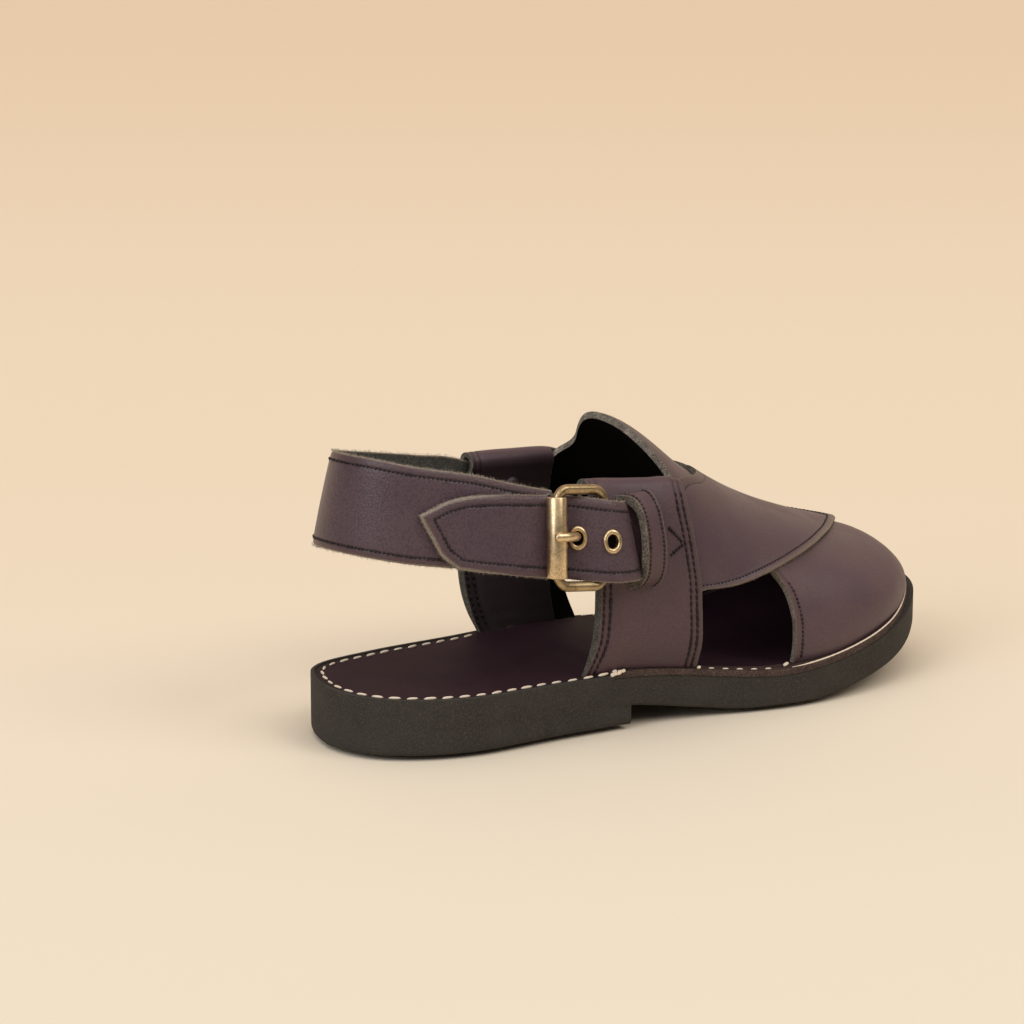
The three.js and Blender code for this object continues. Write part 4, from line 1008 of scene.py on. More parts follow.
def build_side_strap(side, fold, left_table, name, node):
    left, right = curve(left_table), curve(STRAP_RIGHT)
    rise, turn, drop = FOLD_ROWS.values()
    from_left, from_right = fine_steps(LEFT_MARKS), fine_steps(RIGHT_MARKS)
    body = np.linspace(0, 1, 14)[1:]

    def squeeze(around):
        """Share of the right margin that fits between the front end of the fold and the edge."""
        return np.minimum(1, (right(around) - fold["front"]) / (from_right[-1] + 0.4))

    rows = []
    for i in range(rise + turn + drop + 1):
        outside = i <= rise
        down = max(0, i - rise - turn)
        around = mix(1, fold["round"], i / rise) if outside else mix(fold["round"], 1, down / drop)
        start, stop, fit = left(around), right(around), squeeze(around)
        x = np.concatenate([start + from_left, mix(start + from_left[-1], fold["front"], body),
                            stop - from_right[::-1] * fit])
        to_left, to_right = x - start, (stop - x) / fit
        dip = groove(to_left, LEFT_MARKS) + groove(to_right, RIGHT_MARKS)
        near_dip = dip * (to_left < NEAR_LEFT)
        skin, back = strap_faces(x, to_left, around, fold["round"], outside)
        way = side * around
        if outside:
            outer = strap_point(x, way, STRAP_MIDDLE + skin - dip, fold)
            inner = strap_point(x, way, STRAP_MIDDLE + back, fold)
        elif i >= rise + turn:
            ripple = strap_ripple(x, way, to_left, fold)
            outer = strap_point(x, way, STRAP_MIDDLE - skin + near_dip + ripple, fold, False)
            inner = strap_point(x, way, STRAP_MIDDLE - back, fold, False)
        else:
            angle = math.pi * (i - rise) / turn
            centre = strap_point(x, way, STRAP_MIDDLE, fold)
            at = last_turn(x)
            up = unit(last_point(at, way - side * 0.01) - last_point(at, way + side * 0.01))
            spin = last_normal(at, way) * math.cos(angle) + up * math.sin(angle)
            outer = centre + spin * (skin - near_dip)[:, None]
            inner = centre + spin * back[:, None]
        # Painted shade over the inner layer, from the middle of the fold down
        inside = np.full(x.shape, smoothstep(i, rise + turn * 0.4, rise + turn + 2))
        rows.append((outer, inner, np.minimum(to_left, to_right), dip / GROOVE, inside))
    outer, inner, edge_mm, seam, inside = (np.stack(column) for column in zip(*rows))
    keep = all_faces(outer)
    keep[rise + turn // 2:, len(from_left) + len(body) - 1:] = False
    # The seam float is partly the seam's own dark and partly painted shade in its groove; the inside float is
    # painted shade
    make_sheet(name, outer, inner, [STRAP_SMOOTH, LINING_AND_SHADE, GREY_EDGE], keep, node=node, slot="strap_leather",
               edge_mm=edge_mm, floats={"seam": seam, "inside": inside})

    def seam_on(x, to_left, around, outside=True):
        facing = 1 if outside else -1
        skin, _ = strap_faces(x, to_left, around, fold["round"], outside)
        points = strap_point(x, side * around, STRAP_MIDDLE + facing * (skin - THREAD_SUNK), fold, outside)
        return points, facing * skin_out(x, side * around)

    above = np.linspace(0.995, fold["round"] + 0.005, 120)
    below = np.linspace(fold["round"] + 0.02, 0.99, 100)
    lines = []
    for mark in LEFT_MARKS:
        lines.append(seam_on(left(above) + mark, mark, above))
        lines.append(seam_on(left(below) + mark, mark, below, False))
    for mark in RIGHT_MARKS:
        lines.append(seam_on(right(above) - mark * squeeze(above), NOT_NEAR, above))
    return lines


# Heel strap: a band along a spline, leaning in at its top
heel_line = spline([row[:3] for row in HEEL_STRAP])
heel_half = curve([(i / (len(HEEL_STRAP) - 1), row[3]) for i, row in enumerate(HEEL_STRAP)])
HEEL_SKIN = LEATHER / 2 - 0.2
HEEL_FORM = {"crown": 0.25, "roll": 3.4, "chamfer": 0.7}


def lean_frame(along):
    level_run = unit(along * (1 - UP))
    level = np.stack([-level_run[..., 1], level_run[..., 0], np.zeros(along.shape[:-1])], -1)
    up = UP * math.cos(STRAP_LEAN) + level * math.sin(STRAP_LEAN)
    out = -level * math.cos(STRAP_LEAN) + UP * math.sin(STRAP_LEAN)
    return level_run, up, out


def heel_frame(part):
    along = heel_line(np.minimum(part + STEP, 1)) - heel_line(np.maximum(part - STEP, 0))
    _, up, out = lean_frame(along)
    return heel_line(part), up, out


def heel_place(part, height, offset):
    """Point of the heel strap, which settles on the last at its inner end."""
    centre, up, out = heel_frame(part)
    point = centre + up * height[..., None]
    loose = point + out * np.asarray(offset)[..., None]
    x = np.maximum(point[..., 0], LAST_BACK)
    way = way_at_height(x, point[..., 2] - 0.5, 1)
    seated = last_offset(x, way, 1.5 * LEATHER + GAP + offset)
    seated[..., 0] += point[..., 0] - x
    settle = smoothstep(point[..., 0], HEEL_SETTLE["from"], HEEL_SETTLE["to"]) * (point[..., 1] > 0)
    return mix(loose, seated, settle[..., None])


def build_heel_strap():
    part = np.linspace(0, 1, 260)[:, None]
    half = heel_half(part)
    low_steps, high_steps = fine_steps([HEEL_MARKS["low"]]), fine_steps([HEEL_MARKS["high"]])
    body = mix(-half + low_steps[-1], half - high_steps[-1], np.linspace(0, 1, 12)[1:-1])
    height = np.concatenate([-half + low_steps, body, half - high_steps[::-1]], 1)
    to_low, to_high = height + half, half - height
    edge_mm = np.minimum(to_low, to_high)
    dip = groove(to_low, [HEEL_MARKS["low"]]) + groove(to_high, [HEEL_MARKS["high"]])
    crown = HEEL_FORM["crown"] * np.cos(np.clip(height / half, -1, 1) * math.pi / 2)
    crown -= margin_roll(edge_mm, HEEL_FORM["roll"]) + edge_chamfer(edge_mm, HEEL_FORM["chamfer"])
    along = np.broadcast_to(part, height.shape)
    outer = heel_place(along, height, HEEL_SKIN - dip + crown)
    inner = heel_place(along, height, -LEATHER / 2)
    # Seam tint: partly the seam's own dark, partly painted shade in the groove
    make_sheet("heel_band", outer, inner, [STRAP, SUEDE, TAN_EDGE], node="heel_strap", slot="strap_leather",
               edge_mm=edge_mm, raw_mm=0.45, floats={"seam": dip / GROOVE})
    at = np.linspace(0.02, 0.995, 700)
    _, _, out = heel_frame(at)
    heights = (-heel_half(at) + HEEL_MARKS["low"], heel_half(at) - HEEL_MARKS["high"])
    return [(heel_place(at, row, HEEL_SKIN), out) for row in heights]


# Buckle plane, and the metal turned in it
BUCKLE_UP = np.array([0, math.sin(STRAP_LEAN), math.cos(STRAP_LEAN)])
BUCKLE_OUT = np.array([0, -math.cos(STRAP_LEAN), math.sin(STRAP_LEAN)])
METAL_ALONG = FORWARD * math.cos(BUCKLE["pitch"]) - BUCKLE_UP * math.sin(BUCKLE["pitch"])
METAL_UP = FORWARD * math.sin(BUCKLE["pitch"]) + BUCKLE_UP * math.cos(BUCKLE["pitch"])


def metal_point(x, height, depth):
    base = np.array([BUCKLE["middle"], BUCKLE["y"], BUCKLE["z"]])
    along = np.multiply.outer(np.asarray(x, float) - BUCKLE["middle"], METAL_ALONG)
    return base + along + np.multiply.outer(height, METAL_UP) + np.multiply.outer(depth, BUCKLE_OUT)


# Buckle strap: sewn on the heel strap, then free in the plane of the buckle
STRAP_HALF = BUCKLE_STRAP_THICKNESS / 2
STRAP_END = BUCKLE_STRAP_DEPTH[-1][0]
STRAP_JOINED = float(BUCKLE_STRAP_DEPTH[0][0])
STRAP_GROOVE = {"depth": 0.25, "width": 0.55}
STRAP_STEP = 0.4
HEEL_OUTER_PART = (0.55, 1.0)
strap_depth = curve(BUCKLE_STRAP_DEPTH)
strap_upper = curve(BUCKLE_STRAP_EDGES, 1)
strap_lower = curve(BUCKLE_STRAP_EDGES, 2)


def on_heel(x):
    part = bisect(lambda part: heel_line(part)[..., 0] < x, *HEEL_OUTER_PART)
    centre, _, out = heel_frame(part)
    return centre + out * (LEATHER / 2 + GAP + STRAP_HALF)


def on_buckle(x):
    base = np.array([0, BUCKLE["y"], BUCKLE["z"]])
    return base + np.multiply.outer(x, FORWARD) + np.multiply.outer(strap_depth(x) - STRAP_HALF, BUCKLE_OUT)


def strap_centre(x):
    shift = (on_buckle(STRAP_JOINED) - on_heel(STRAP_JOINED)) @ BUCKLE_OUT
    sewn = on_heel(np.minimum(x, STRAP_JOINED))
    sewn = sewn + np.multiply.outer(shift * smoothstep(x, 50, STRAP_JOINED), BUCKLE_OUT)
    return np.where((x >= STRAP_JOINED)[..., None], on_buckle(np.maximum(x, STRAP_JOINED)), sewn)


def strap_frame(x):
    return (strap_centre(x), *lean_frame(strap_centre(x + STRAP_STEP) - strap_centre(x - STRAP_STEP)))


def strap_place(x, z, offset):
    centre, _, up, out = strap_frame(x)
    point = centre + up * ((z - centre[..., 2]) / up[..., 2])[..., None]
    return point + out * np.asarray(offset)[..., None], out


def strap_start(part):
    """Where the strap begins, from its lower edge at part 0 to its upper edge at part 1."""
    slant = STRAP_TIP["slant"] * (1 - part) ** 1.2
    return BUCKLE_STRAP_EDGES[0][0] + slant + STRAP_TIP["round"] * np.maximum(0, 1 - part / 0.25) ** 2


def tip_thickness(x):
    """Extra thickness of the strap towards its pointed end."""
    return STRAP_TIP["thicker"] * (1 - smoothstep(x, 50, 70))


def strap_outline(inset):
    """Tip and both edges of the buckle strap, moved in from its cut edge, as x and z."""
    top = np.linspace(STRAP_END, BUCKLE_STRAP_EDGES[0][0], 300)
    part = np.linspace(1, 0, 120)[1:-1]
    front = strap_start(part)
    foot = np.linspace(strap_start(0.0), STRAP_END, 280)
    outline = np.concatenate([
        np.column_stack([top, strap_upper(top)]),
        np.column_stack([front, mix(strap_lower(front), strap_upper(front), part)]),
        np.column_stack([foot, strap_lower(foot)]),
    ])
    along = unit(np.gradient(outline, axis=0))
    moved = outline + np.column_stack([-along[:, 1], along[:, 0]]) * inset
    return moved[nearest(moved, outline) > inset - 0.08]


def build_buckle_strap():
    part = np.linspace(0, 1, 61)
    along = np.linspace(0, 1, 191) ** 1.15
    x = mix(strap_start(part), STRAP_END, along[:, None])
    z = mix(strap_lower(x), strap_upper(x), part)
    distance = nearest(np.stack([x, z], -1), strap_outline(0.0))
    dip = groove(distance, [STRAP_MARK], **STRAP_GROOVE)
    flare = np.where(part < 0.5, -0.8 * smoothstep(x, 60, 80), 1.0)
    rounding = margin_roll(distance, STRAP_MARK) * flare + edge_chamfer(distance, 1.3)
    outer, _ = strap_place(x, z, STRAP_HALF - dip - rounding + tip_thickness(x))
    inner, _ = strap_place(x, z, -STRAP_HALF)
    middle = (outer[1:, 1:] + outer[:-1, :-1]) / 2
    keep = all_faces(outer)
    for at in EYELET_AT.values():
        keep &= np.linalg.norm(middle - eyelet_frame(at)[0], axis=-1) > EYELET["cut"]
    # Seam tint: partly the seam's own dark, partly painted shade in the groove
    make_sheet("buckle_band", outer, inner, [STRAP, SUEDE, TAN_EDGE], keep, node="buckle_strap",
               slot="strap_leather", edge_mm=distance, raw_mm=mix(1.0, 0.3, smoothstep(x, 38, 62)),
               floats={"seam": dip / STRAP_GROOVE["depth"]})
    path = strap_outline(STRAP_MARK)
    return [strap_place(path[:, 0], path[:, 1], STRAP_HALF - 0.16 + tip_thickness(path[:, 0]))]


def eyelet_frame(x):
    at = np.array([float(x)])
    point, out = strap_place(at, (strap_lower(at) + strap_upper(at)) / 2, 0.0)
    _, along, _, _ = strap_frame(at)
    return point[0], along[0] * EYELET["long"], np.cross(out[0], along[0]) * EYELET["tall"], out[0]


# Brass: eyelets, frame, roller and prong
def build_eyelet(name, x):
    centre, along, across, out = eyelet_frame(x)
    hole, flange, wall = EYELET["hole"], EYELET["flange"], EYELET["wall"]
    top = STRAP_HALF - 0.05
    profile = [(flange, top), (flange + 0.05, top + 0.3)]
    for angle in np.radians(np.linspace(15, 165, 9)):
        radius = mix(hole, flange, 0.5) + (flange - hole) / 2 * math.cos(angle)
        profile.append((radius, top + 0.3 + EYELET["height"] * math.sin(angle)))
    profile += [(hole, top + 0.2), (hole, -STRAP_HALF), (hole + wall, -STRAP_HALF), (hole + wall, top)]
    wheel = spokes(circle(56), along, across)
    rings = [[centre + spoke * r + out * h for r, h in profile] for spoke in wheel]
    make_tube(name + "_ring", rings, [BRASS], closed=True, node=name, slot="antique_brass", sharp=60)
    # Painted shade: a black disc under each eyelet hole stands in for the shade seen through it
    shade_disc = [centre + wheel * (hole + 0.6) + out * (h - STRAP_HALF) for h in (-0.15, 0.25)]
    make_tube(name + "_backing", shade_disc, [LINING_AND_SHADE], slot="strap_leather")


def buckle_loop(steps=10):
    half, corner = BUCKLE["height"] / 2, BUCKLE["corner"]
    front, rear = BUCKLE["bar"] - corner, BUCKLE["roller"] + corner
    upper, lower = half - corner, -half + corner
    points = []
    for quarter, (x, height) in enumerate([(front, upper), (rear, upper), (rear, lower), (front, lower)]):
        for k in range(steps + 1):
            angle = math.pi / 2 * (quarter + k / steps)
            points.append((x + corner * math.cos(angle), height + corner * math.sin(angle)))
    return np.array(points)


def build_buckle_frame():
    loop = buckle_loop()
    angles = circle(18)
    depth = BUCKLE["depth"] + BUCKLE["wire"] * np.sin(angles)
    rings = []
    for i, (x, height) in enumerate(loop):
        along = unit(loop[(i + 1) % len(loop)] - loop[i - 1])
        in_plane = BUCKLE["wire"] * np.cos(angles)
        in_plane = np.where(in_plane < 0, in_plane * (1 + BUCKLE["flat"] * abs(along[0])), in_plane)
        rings.append(metal_point(x + along[1] * in_plane, height - along[0] * in_plane, depth))
    make_tube("frame_wire", rings, [FRAME_BRASS], closed=True, node="buckle_frame", slot="antique_brass",
              sharp=60)


def metal_lathe(name, x, profile, node):
    """Ring turned about a bar: the profile is its lower half, as radius and height."""
    radius, height = np.array(profile + [(r, -h) for r, h in profile[::-1]]).T
    rings = []
    for angle in circle(40):
        depth = BUCKLE["depth"] + radius * math.sin(angle)
        rings.append(metal_point(x + radius * math.cos(angle), height, depth))
    make_tube(name, rings, [BRASS], closed=True, node=node, slot="antique_brass", sharp=50)


def build_roller():
    half, radius, lip, soft = ROLLER["length"] / 2, ROLLER["radius"], ROLLER["lip"], ROLLER["soft"]
    profile = [(ROLLER["bore"], -half), (radius - lip, -half), (radius - soft, -half + soft)]
    profile.append((radius, -half + lip))
    metal_lathe("roller_tube", BUCKLE["roller"], profile, "buckle_roller")


def build_prong():
    middle = (strap_lower(EYELET_AT["eyelet_rear"]) + strap_upper(EYELET_AT["eyelet_rear"])) / 2
    x, depth = np.array(PRONG_PATH).T
    rise = (middle - BUCKLE["z"]) / math.cos(STRAP_LEAN) * np.minimum(1, (BUCKLE["bar"] - x) / 10)
    part = np.linspace(0, 1, 60)
    points = spline(metal_point(x, rise, depth))(part)
    sides = unit(np.cross(METAL_UP, unit(np.gradient(points, axis=0))))
    ends = np.maximum(0, (part - PRONG["end"]) / (1 - PRONG["end"]))
    sizes = PRONG["radius"] * np.sqrt(np.maximum(0.03, 1 - ends * ends))
    talls = sizes * (1 + 0.25 * smoothstep(part, 0.5, 0.9))
    rings = [p + spokes(circle(14), METAL_UP, side, tall, size)
             for p, side, tall, size in zip(points, sides, talls, sizes)]
    make_tube("prong_wire", rings, [BRASS], node="buckle_prong", slot="antique_brass", sharp=60)
    half, outer, bore, lip = PRONG["width"] / 2, PRONG["sleeve"], PRONG["bore"], PRONG["lip"]
    profile = [(bore, -half), (outer - lip, -half), (outer, -half + lip)]
    metal_lathe("prong_loop", BUCKLE["bar"], profile, "buckle_prong")


# Chape: a tab sewn under the side strap, level with the buckle and turned round its bar
def build_chape():
    side_face = 3 * LEATHER + 3 * GAP
    radius = BUCKLE["wire"] + GAP
    part = np.linspace(-1, 1, 17)
    height = CHAPE["half"] * part
    outer, inner = [], []
    for s in np.linspace(0.55, 1, 24):
        x = mix(CHAPE["tip"] - CHAPE["point"] * np.abs(part), BUCKLE["bar"], s)
        drop = CHAPE["drop"] * smoothstep(x, BUCKLE["bar"], CHAPE["tip"])
        way = way_at_height(x, BUCKLE["z"] + (height - drop) * math.cos(STRAP_LEAN) - 0.8, -1)
        level = (1 - smoothstep(x, BUCKLE["bar"], BUCKLE["bar"] + CHAPE["sewn"]))[:, None]
        for faces, lift in ((inner, 0.0), (outer, CHAPE["thickness"])):
            sewn = last_offset(x, way, side_face + lift)
            flat = metal_point(x, height, BUCKLE["depth"] - radius - CHAPE["thickness"] + lift)
            faces.append(mix(sewn, flat, level))
    for angle in -math.pi / 2 - math.pi * np.linspace(0, 1, 12)[1:]:
        for faces, r in ((inner, radius + CHAPE["thickness"]), (outer, radius)):
            x = BUCKLE["bar"] + r * math.cos(angle)
            faces.append(metal_point(x, height, BUCKLE["depth"] + r * math.sin(angle)))
    make_sheet("chape_tab", np.stack(outer), np.stack(inner), [STRAP, SUEDE, DARK_EDGE], node="buckle_chape",
               slot="strap_leather", bevel=0.25)


# Triangle of stitches where the chape is sewn under the side strap: x, way round
CHAPE_SEAM = [(128.4, 0.655), (135.0, 0.694), (128.4, 0.732)]


def chape_seam():
    lines = []
    for first, second in zip(CHAPE_SEAM[:-1], CHAPE_SEAM[1:]):
        x, way = mix(np.array(first)[:, None], np.array(second)[:, None], np.linspace(0.02, 0.98, 30))
        lines.append(seam_line(x, -way, 3 * LEATHER + 2.5 * GAP - 0.05))
    return lines


# Keeper: a loop bent over the end of the buckle strap
def keeper_place(part, along, depth):
    """Point of the loop: part down its bend, along from its rear to its front edge, depth below its skin."""
    step = 0.01
    rear, front = spline(KEEPER_REAR), spline(KEEPER_FRONT)

    def bend(at):
        return mix(rear(at), front(at), np.asarray(along)[..., None])

    run = unit(bend(np.minimum(part + step, 1)) - bend(np.maximum(part - step, 0)))
    out = np.stack([np.zeros(part.shape), run[..., 1], -run[..., 0]], -1)
    reach = KEEPER["reach_top"] * (1 - smoothstep(part, 0.0, 0.28))
    reach = reach + KEEPER["reach_foot"] * smoothstep(part, 0.86, 1.0)
    x = mix(KEEPER["rear"] - reach, KEEPER["front"], along)
    skin = np.concatenate([x[..., None], bend(part)], -1)
    return skin - out * np.asarray(depth)[..., None], out


def build_keeper():
    steps = fine_steps([KEEPER_MARK])
    width = KEEPER["front"] - KEEPER["rear"]
    across = np.concatenate([steps, np.linspace(steps[-1], width - steps[-1], 8)[1:-1], width - steps[::-1]])
    part, along = np.meshgrid(np.linspace(0, 1, 110), across / width, indexing="ij")
    edge = np.minimum(along, 1 - along) * width
    thick = mix(KEEPER["thick_rear"], KEEPER["thick_front"], along)
    thick = thick * np.minimum(1, 0.35 + 3 * np.minimum(part, 1 - part))
    outer, _ = keeper_place(part, along, groove(edge, [KEEPER_MARK], 0.2))
    inner, _ = keeper_place(part, along, thick)
    # Seam tint: partly the seam's own dark, partly painted shade in the groove
    make_sheet("keeper_band", outer, inner, [STRAP_SMOOTH, SUEDE, DARK_EDGE], node="keeper_loop",
               slot="strap_leather", bevel=0.45, edge_mm=edge, raw_mm=0.35,
               floats={"seam": groove(edge, [KEEPER_MARK], 0.7)})
    part = np.linspace(0.03, 0.97, 160)
    return [keeper_place(part, share, 0.15) for share in (KEEPER_MARK / width, 1 - KEEPER_MARK / width)]


# Leather-covered knob inside the inner strap, darkened with painted shade
KNOB = {"x": 110.2, "way": 0.645, "base": -2.6, "radius": 3.4, "height": 2.2, "shade": 0.55}


def build_knob():
    out = -skin_out(KNOB["x"], KNOB["way"])
    centre = last_offset(KNOB["x"], KNOB["way"], KNOB["base"])
    along = unit(np.cross(out, UP))
    across = np.cross(out, along)
    rings = []
    for angle in np.radians(np.linspace(0, 86, 10)):
        wide = KNOB["radius"] * math.cos(angle)
        rim = spokes(circle(24), along, across, wide, wide)
        rings.append(centre + rim + out * KNOB["height"] * math.sin(angle))
    # Painted shade over the whole knob
    shade = np.full(sum(map(len, rings)), KNOB["shade"])
    make_tube("strap_knob", rings, [STRAP_SMOOTH], slot="strap_leather", sharp=70,
              attributes={"inside": shade})


# Thread round the heel of the insole and along the welt
HEEL_THREAD = {"from": 105.5, "to": 92, "outer": 3.7, "inner": 4.8, "welt": 1.7}
WELT_TOP_RISE = GAP + WELT_THICKNESS
WELT_THREAD = {"from": 148, "to": 182, "inset": 2.6}
CORD = {"reach": 185, "inset": 0.75, "rise": 0.1, "radius": 0.36}


def heel_thread():
    start, stop = sole_turn(HEEL_THREAD["from"]) - 1, 1 - sole_turn(HEEL_THREAD["to"])
    walk = np.concatenate([np.linspace(start, -1, 300), np.linspace(1, stop, 300)])
    inset = mix(HEEL_THREAD["outer"], HEEL_THREAD["inner"],
                smoothstep(np.sign(walk) * (1 - np.abs(walk)), -0.12, 0.12))
    by_welt = smoothstep(sole_x(1 - np.abs(walk)), 76, 96) * (walk < 0)
    edge = inset_edge(np.clip(walk, -0.998, 0.998), mix(inset, HEEL_THREAD["welt"], by_welt))
    return [(on_sole(edge, GAP + insole_rise(edge[:, 0])), UP)]


def welt_thread():
    walk = np.linspace(1 - sole_turn(WELT_THREAD["from"]), 1 - sole_turn(WELT_THREAD["to"]), 400)
    return [(on_sole(inset_edge(side * walk, WELT_THREAD["inset"]), WELT_TOP_RISE), UP) for side in (-1, 1)]


def make_welt_cord():
    """Cream cord round the toe, one thread from side to side."""
    share = np.linspace(-1, 1, 420)
    walk = (1 - sole_turn(CORD["reach"])) * share
    edge = inset_edge(walk, welt_rim(sole_edge(walk)[:, 0]) + CORD["inset"])
    points = on_sole(edge, WELT_TOP_RISE + CORD["rise"])
    along = unit(np.gradient(points, axis=0))
    sides = unit(np.cross(along, UP))
    twist = 1 + 0.08 * np.sin(np.arange(len(points)) * 1.7)
    sizes = CORD["radius"] * twist * np.minimum(1, 0.3 + 12 * (1 - np.abs(share)))
    rings = [p + spokes(circle(10), side, up, size, size)
             for p, side, up, size in zip(points, sides, np.cross(sides, along), sizes)]
    make_tube("welt_cord", rings, [IVORY_THREAD], slot="welt_leather", sharp=80)


# Thread ends: a lumpy knot where the two seams meet and small ends beside the window: x, inset, size, height
THREAD_ENDS = [(106.4, 0.8, 1.6, 2.0), (107.8, 0.3, 1.5, 2.2), (109.6, 0.4, 1.4, 2.9), (107.6, 1.2, 1.3, 2.9),
               (145.0, 0.9, 0.8, 3.5), (183.2, 3.6, 0.9, 3.5), (184.4, 4.6, 0.8, 3.5)]


def knot_lines():
    lines = []
    for x, inset, size, height in THREAD_ENDS:
        centre = on_sole(inset_edge(sole_turn(x) - 1, inset), height)
        turn = rng.uniform(-0.6, 0.6)
        half = np.array([math.cos(turn), math.sin(turn), 0.1]) * size * 1.15
        lines.append((np.array([centre - half, centre + half]), UP))
    return lines


# Loose fibres along the cut edges, three-sided and bent in the middle: share of the length, thickness
FIBRE_RINGS = ((-0.1, 0.055), (0.5, 0.045))
FIBRE_ANGLES = (0, 2.094, 4.189)
FIBRE_FORM = {"lean": 0.75, "bend": 0.6, "shortest": 0.35}
FIBRE_FACES = [[2, 1, 0], [0, 1, 4, 3], [3, 4, 6], [1, 2, 5, 4], [4, 5, 6], [2, 0, 3, 5], [5, 3, 6]]


def make_fuzz(name, lines, look, slot, per_mm, length):
    points, faces = [], []
    for path, out in lines:
        lengths = line_lengths(path)
        out = np.broadcast_to(out, path.shape)
        for at in rng.uniform(0, lengths[-1], int(lengths[-1] * per_mm)):
            root = read_line(at, lengths, path)
            way = unit(read_line(at, lengths, out) + FIBRE_FORM["lean"] * rng.standard_normal(3))
            bent = unit(way + FIBRE_FORM["bend"] * rng.standard_normal(3))
            long = length * rng.uniform(FIBRE_FORM["shortest"], 1.0)
            side = unit(np.cross(way, rng.standard_normal(3)))
            faces += [[len(points) + corner for corner in face] for face in FIBRE_FACES]
            ring = spokes(FIBRE_ANGLES, side, np.cross(way, side))
            for share, thick in FIBRE_RINGS:
                points.extend(root + way * long * share + thick * ring)
            points.append(root + way * long * 0.5 + bent * long * 0.5)
    make_piece(name, np.array(points), faces, [look], slot, sharp=80)


def fuzz_lines():
    part = np.linspace(0.02, 0.99, 300)
    half = heel_half(part)
    _, up, _ = heel_frame(part)
    lines = []
    for offset in (-0.8, 0.0, 0.8):
        lines += [(heel_place(part, edge * half, offset), edge * up) for edge in (1, -1)]
    outline = strap_outline(0.0)
    away = unit(outline - np.array([60, 84.0]))
    for offset in (-0.7, 0.7):
        points, _ = strap_place(outline[:, 0], outline[:, 1], offset)
        lines.append((points, np.column_stack([away[:, 0], np.zeros(len(away)), away[:, 1]])))
    saddle_way = np.linspace(0.5, 0.79, 120)
    cap_way = np.linspace(0.62, 0.99, 120)
    for side in (-1, 1):
        lines.append((last_offset(curve(OVERLAY_FRONT)(saddle_way), side * saddle_way, 3.2), (0.5, 0, -0.8)))
        lines.append((last_offset(curve(CAP_EDGE)(cap_way), side * cap_way, 1.0), (-1.0, 0, 0)))
    return lines


# Stage: a pale floor a little below the tread, so that a dark line shows between them, light and a camera.
# The floor's colour grows darker away from the camera: painted falloff of the light
FLOOR_HALF = 14.0
FLOOR_CLEAR = 2.0
AWAY = (0.543, 0.84, 0.0)
# Floor colours from near to far: the darker far colours are painted falloff of the light
FLOOR_NEAR = (0.78, 0.705, 0.588)
FLOOR_MIDDLE_SHADED = (0.76, 0.645, 0.504)
FLOOR_FAR_SHADED = (0.7, 0.557, 0.405)
WORLD_FRONT = (0.12, 0.118, 0.115)
WORLD_BACK = (0.75, 0.58, 0.42)


def build_stage():
    mesh = bpy.data.meshes.new("floor")
    corners = [(-1, -1), (1, -1), (1, 1), (-1, 1)]
    corners = [(x * FLOOR_HALF, y * FLOOR_HALF, -FLOOR_CLEAR * MM) for x, y in corners]
    mesh.from_pydata(corners, [], [(0, 1, 2, 3)])
    look = Look("floor_paper")
    depth = look.vector("DOT_PRODUCT", {0: look.where, 1: AWAY})["Value"]
    # Painted falloff: the floor darkens away from the camera
    tint = look.colour(look.spread(depth, -400, 500), FLOOR_NEAR, FLOOR_MIDDLE_SHADED)
    tint = look.colour(look.spread(depth, 300, 2300), tint, FLOOR_FAR_SHADED)
    look.set(Base_Color=tint, Roughness=0.9, Specular_IOR_Level=0.15)
    look.set(Normal=look.bump(look.noise(1.5, 3, 0.6), 0.1, 0.1))
    mesh.materials.append(look.material)
    add_object("floor", mesh)


def aim(piece, direction):
    piece.rotation_euler = direction.to_track_quat("-Z", "Y").to_euler()


def add_sun(name, azimuth, elevation, spread, power, tint):
    light = bpy.data.lights.new(name, "SUN")
    light.angle = math.radians(spread)
    light.energy = power
    light.color = tint
    lamp = add_object(name, light)
    a, e = math.radians(azimuth), math.radians(elevation)
    toward = Vector((math.cos(a) * math.cos(e), math.sin(a) * math.cos(e), math.sin(e)))
    lamp.location = toward * 3
    aim(lamp, -toward)


def build_light():
    scene = bpy.context.scene
    scene.world = bpy.data.worlds.new("studio")
    scene.world.use_nodes = True
    sky = Nodes(scene.world.node_tree)
    depth = sky.vector("DOT_PRODUCT", {0: sky.place("Generated"), 1: AWAY})["Value"]
    tint = sky.colour(sky.spread(depth, 0.0, 0.7), WORLD_FRONT, WORLD_BACK)
    sky.feed(sky.tree.nodes["Background"].inputs["Color"], tint)
    add_sun("window", azimuth=237, elevation=70, spread=75, power=1.65, tint=(1, 0.955, 0.9))
    add_sun("left", azimuth=190, elevation=30, spread=36, power=1.05, tint=(0.95, 0.97, 1.0))
    add_sun("right", azimuth=300, elevation=43, spread=32, power=0.9, tint=(1, 0.93, 0.84))
    scene.view_settings.view_transform = "Standard"
    scene.view_settings.look = "None"


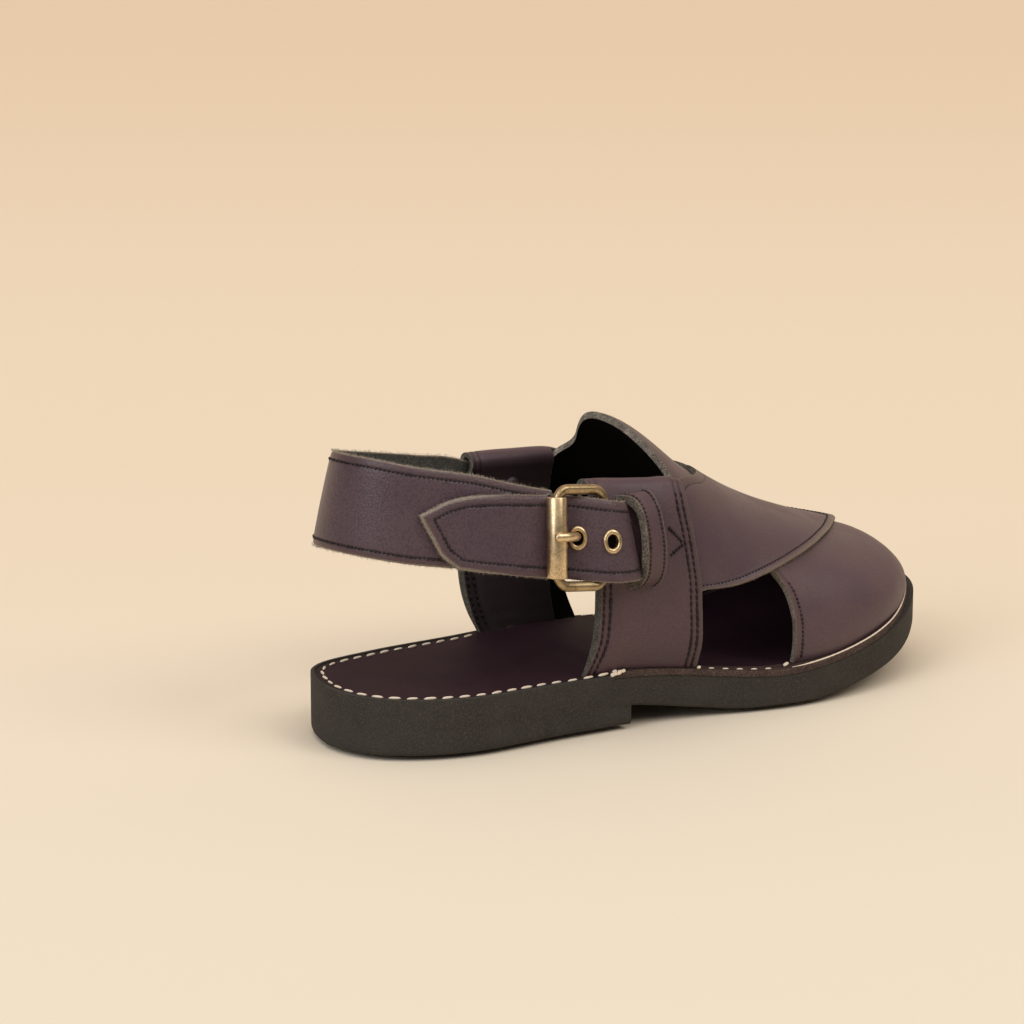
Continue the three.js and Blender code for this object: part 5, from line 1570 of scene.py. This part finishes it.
def build_camera():
    camera = bpy.data.cameras.new("photo_camera")
    camera.lens = CAMERA_LENS
    camera.sensor_width = 36
    camera.clip_start = 0.05
    camera.clip_end = 50
    eye = add_object("photo_camera", camera)
    eye.location = to_row(CAMERA_AT)
    aim(eye, Vector(to_row(CAMERA_TARGET)) - eye.location)
    bpy.context.scene.camera = eye


build_sole()
build_rim()
build_welt()
build_insole()
dark_lines = build_upper()
side_lines = build_side_strap(-1, FOLD_LATERAL, STRAP_LEFT_LATERAL, "side_band_outer", "side_strap_lateral")
side_lines += build_side_strap(1, FOLD_MEDIAL, STRAP_LEFT_MEDIAL, "side_band_inner", "side_strap_medial")
dark_lines += build_heel_strap()
dark_lines += build_buckle_strap()
dark_lines += build_keeper()
overlay_lines = build_overlay()
build_chape()
build_knob()
for eyelet, where in EYELET_AT.items():
    build_eyelet(eyelet, where)
build_buckle_frame()
build_roller()
build_prong()
make_stitches("strap_stitches", dark_lines, DARK_THREAD, "strap_leather",
              pitch=1.75, length=1.35, radius=0.46, slant=0.3, uneven=0.16)
make_stitches("side_stitches", side_lines, DARK_THREAD, "strap_leather",
              pitch=2.8, length=2.6, radius=0.5, slant=0.2, uneven=0.14)
make_stitches("chape_stitches", chape_seam(), DARK_THREAD, "strap_leather",
              pitch=1.5, length=1.3, radius=0.62, sink=0.0, uneven=0.12)
make_stitches("saddle_stitches", overlay_lines, DARK_THREAD, "upper_leather",
              pitch=1.7, length=1.15, radius=0.4, uneven=0.1)
make_stitches("heel_stitches", heel_thread(), IVORY_THREAD, "welt_leather",
              pitch=6.9, length=4.9, radius=0.57, slant=0.1, sink=0.06)
make_stitches("welt_stitches", welt_thread(), IVORY_THREAD, "welt_leather",
              pitch=6.2, length=3.0, radius=0.44, slant=0.05)
make_stitches("thread_knots", knot_lines(), IVORY_THREAD, "welt_leather",
              pitch=1.6, length=2.2, radius=0.8, uneven=0.1)
make_welt_cord()
make_fuzz("edge_fibres", fuzz_lines(), FIBRE, "strap_leather", per_mm=1.6, length=1.3)
build_stage()
build_light()
build_camera()
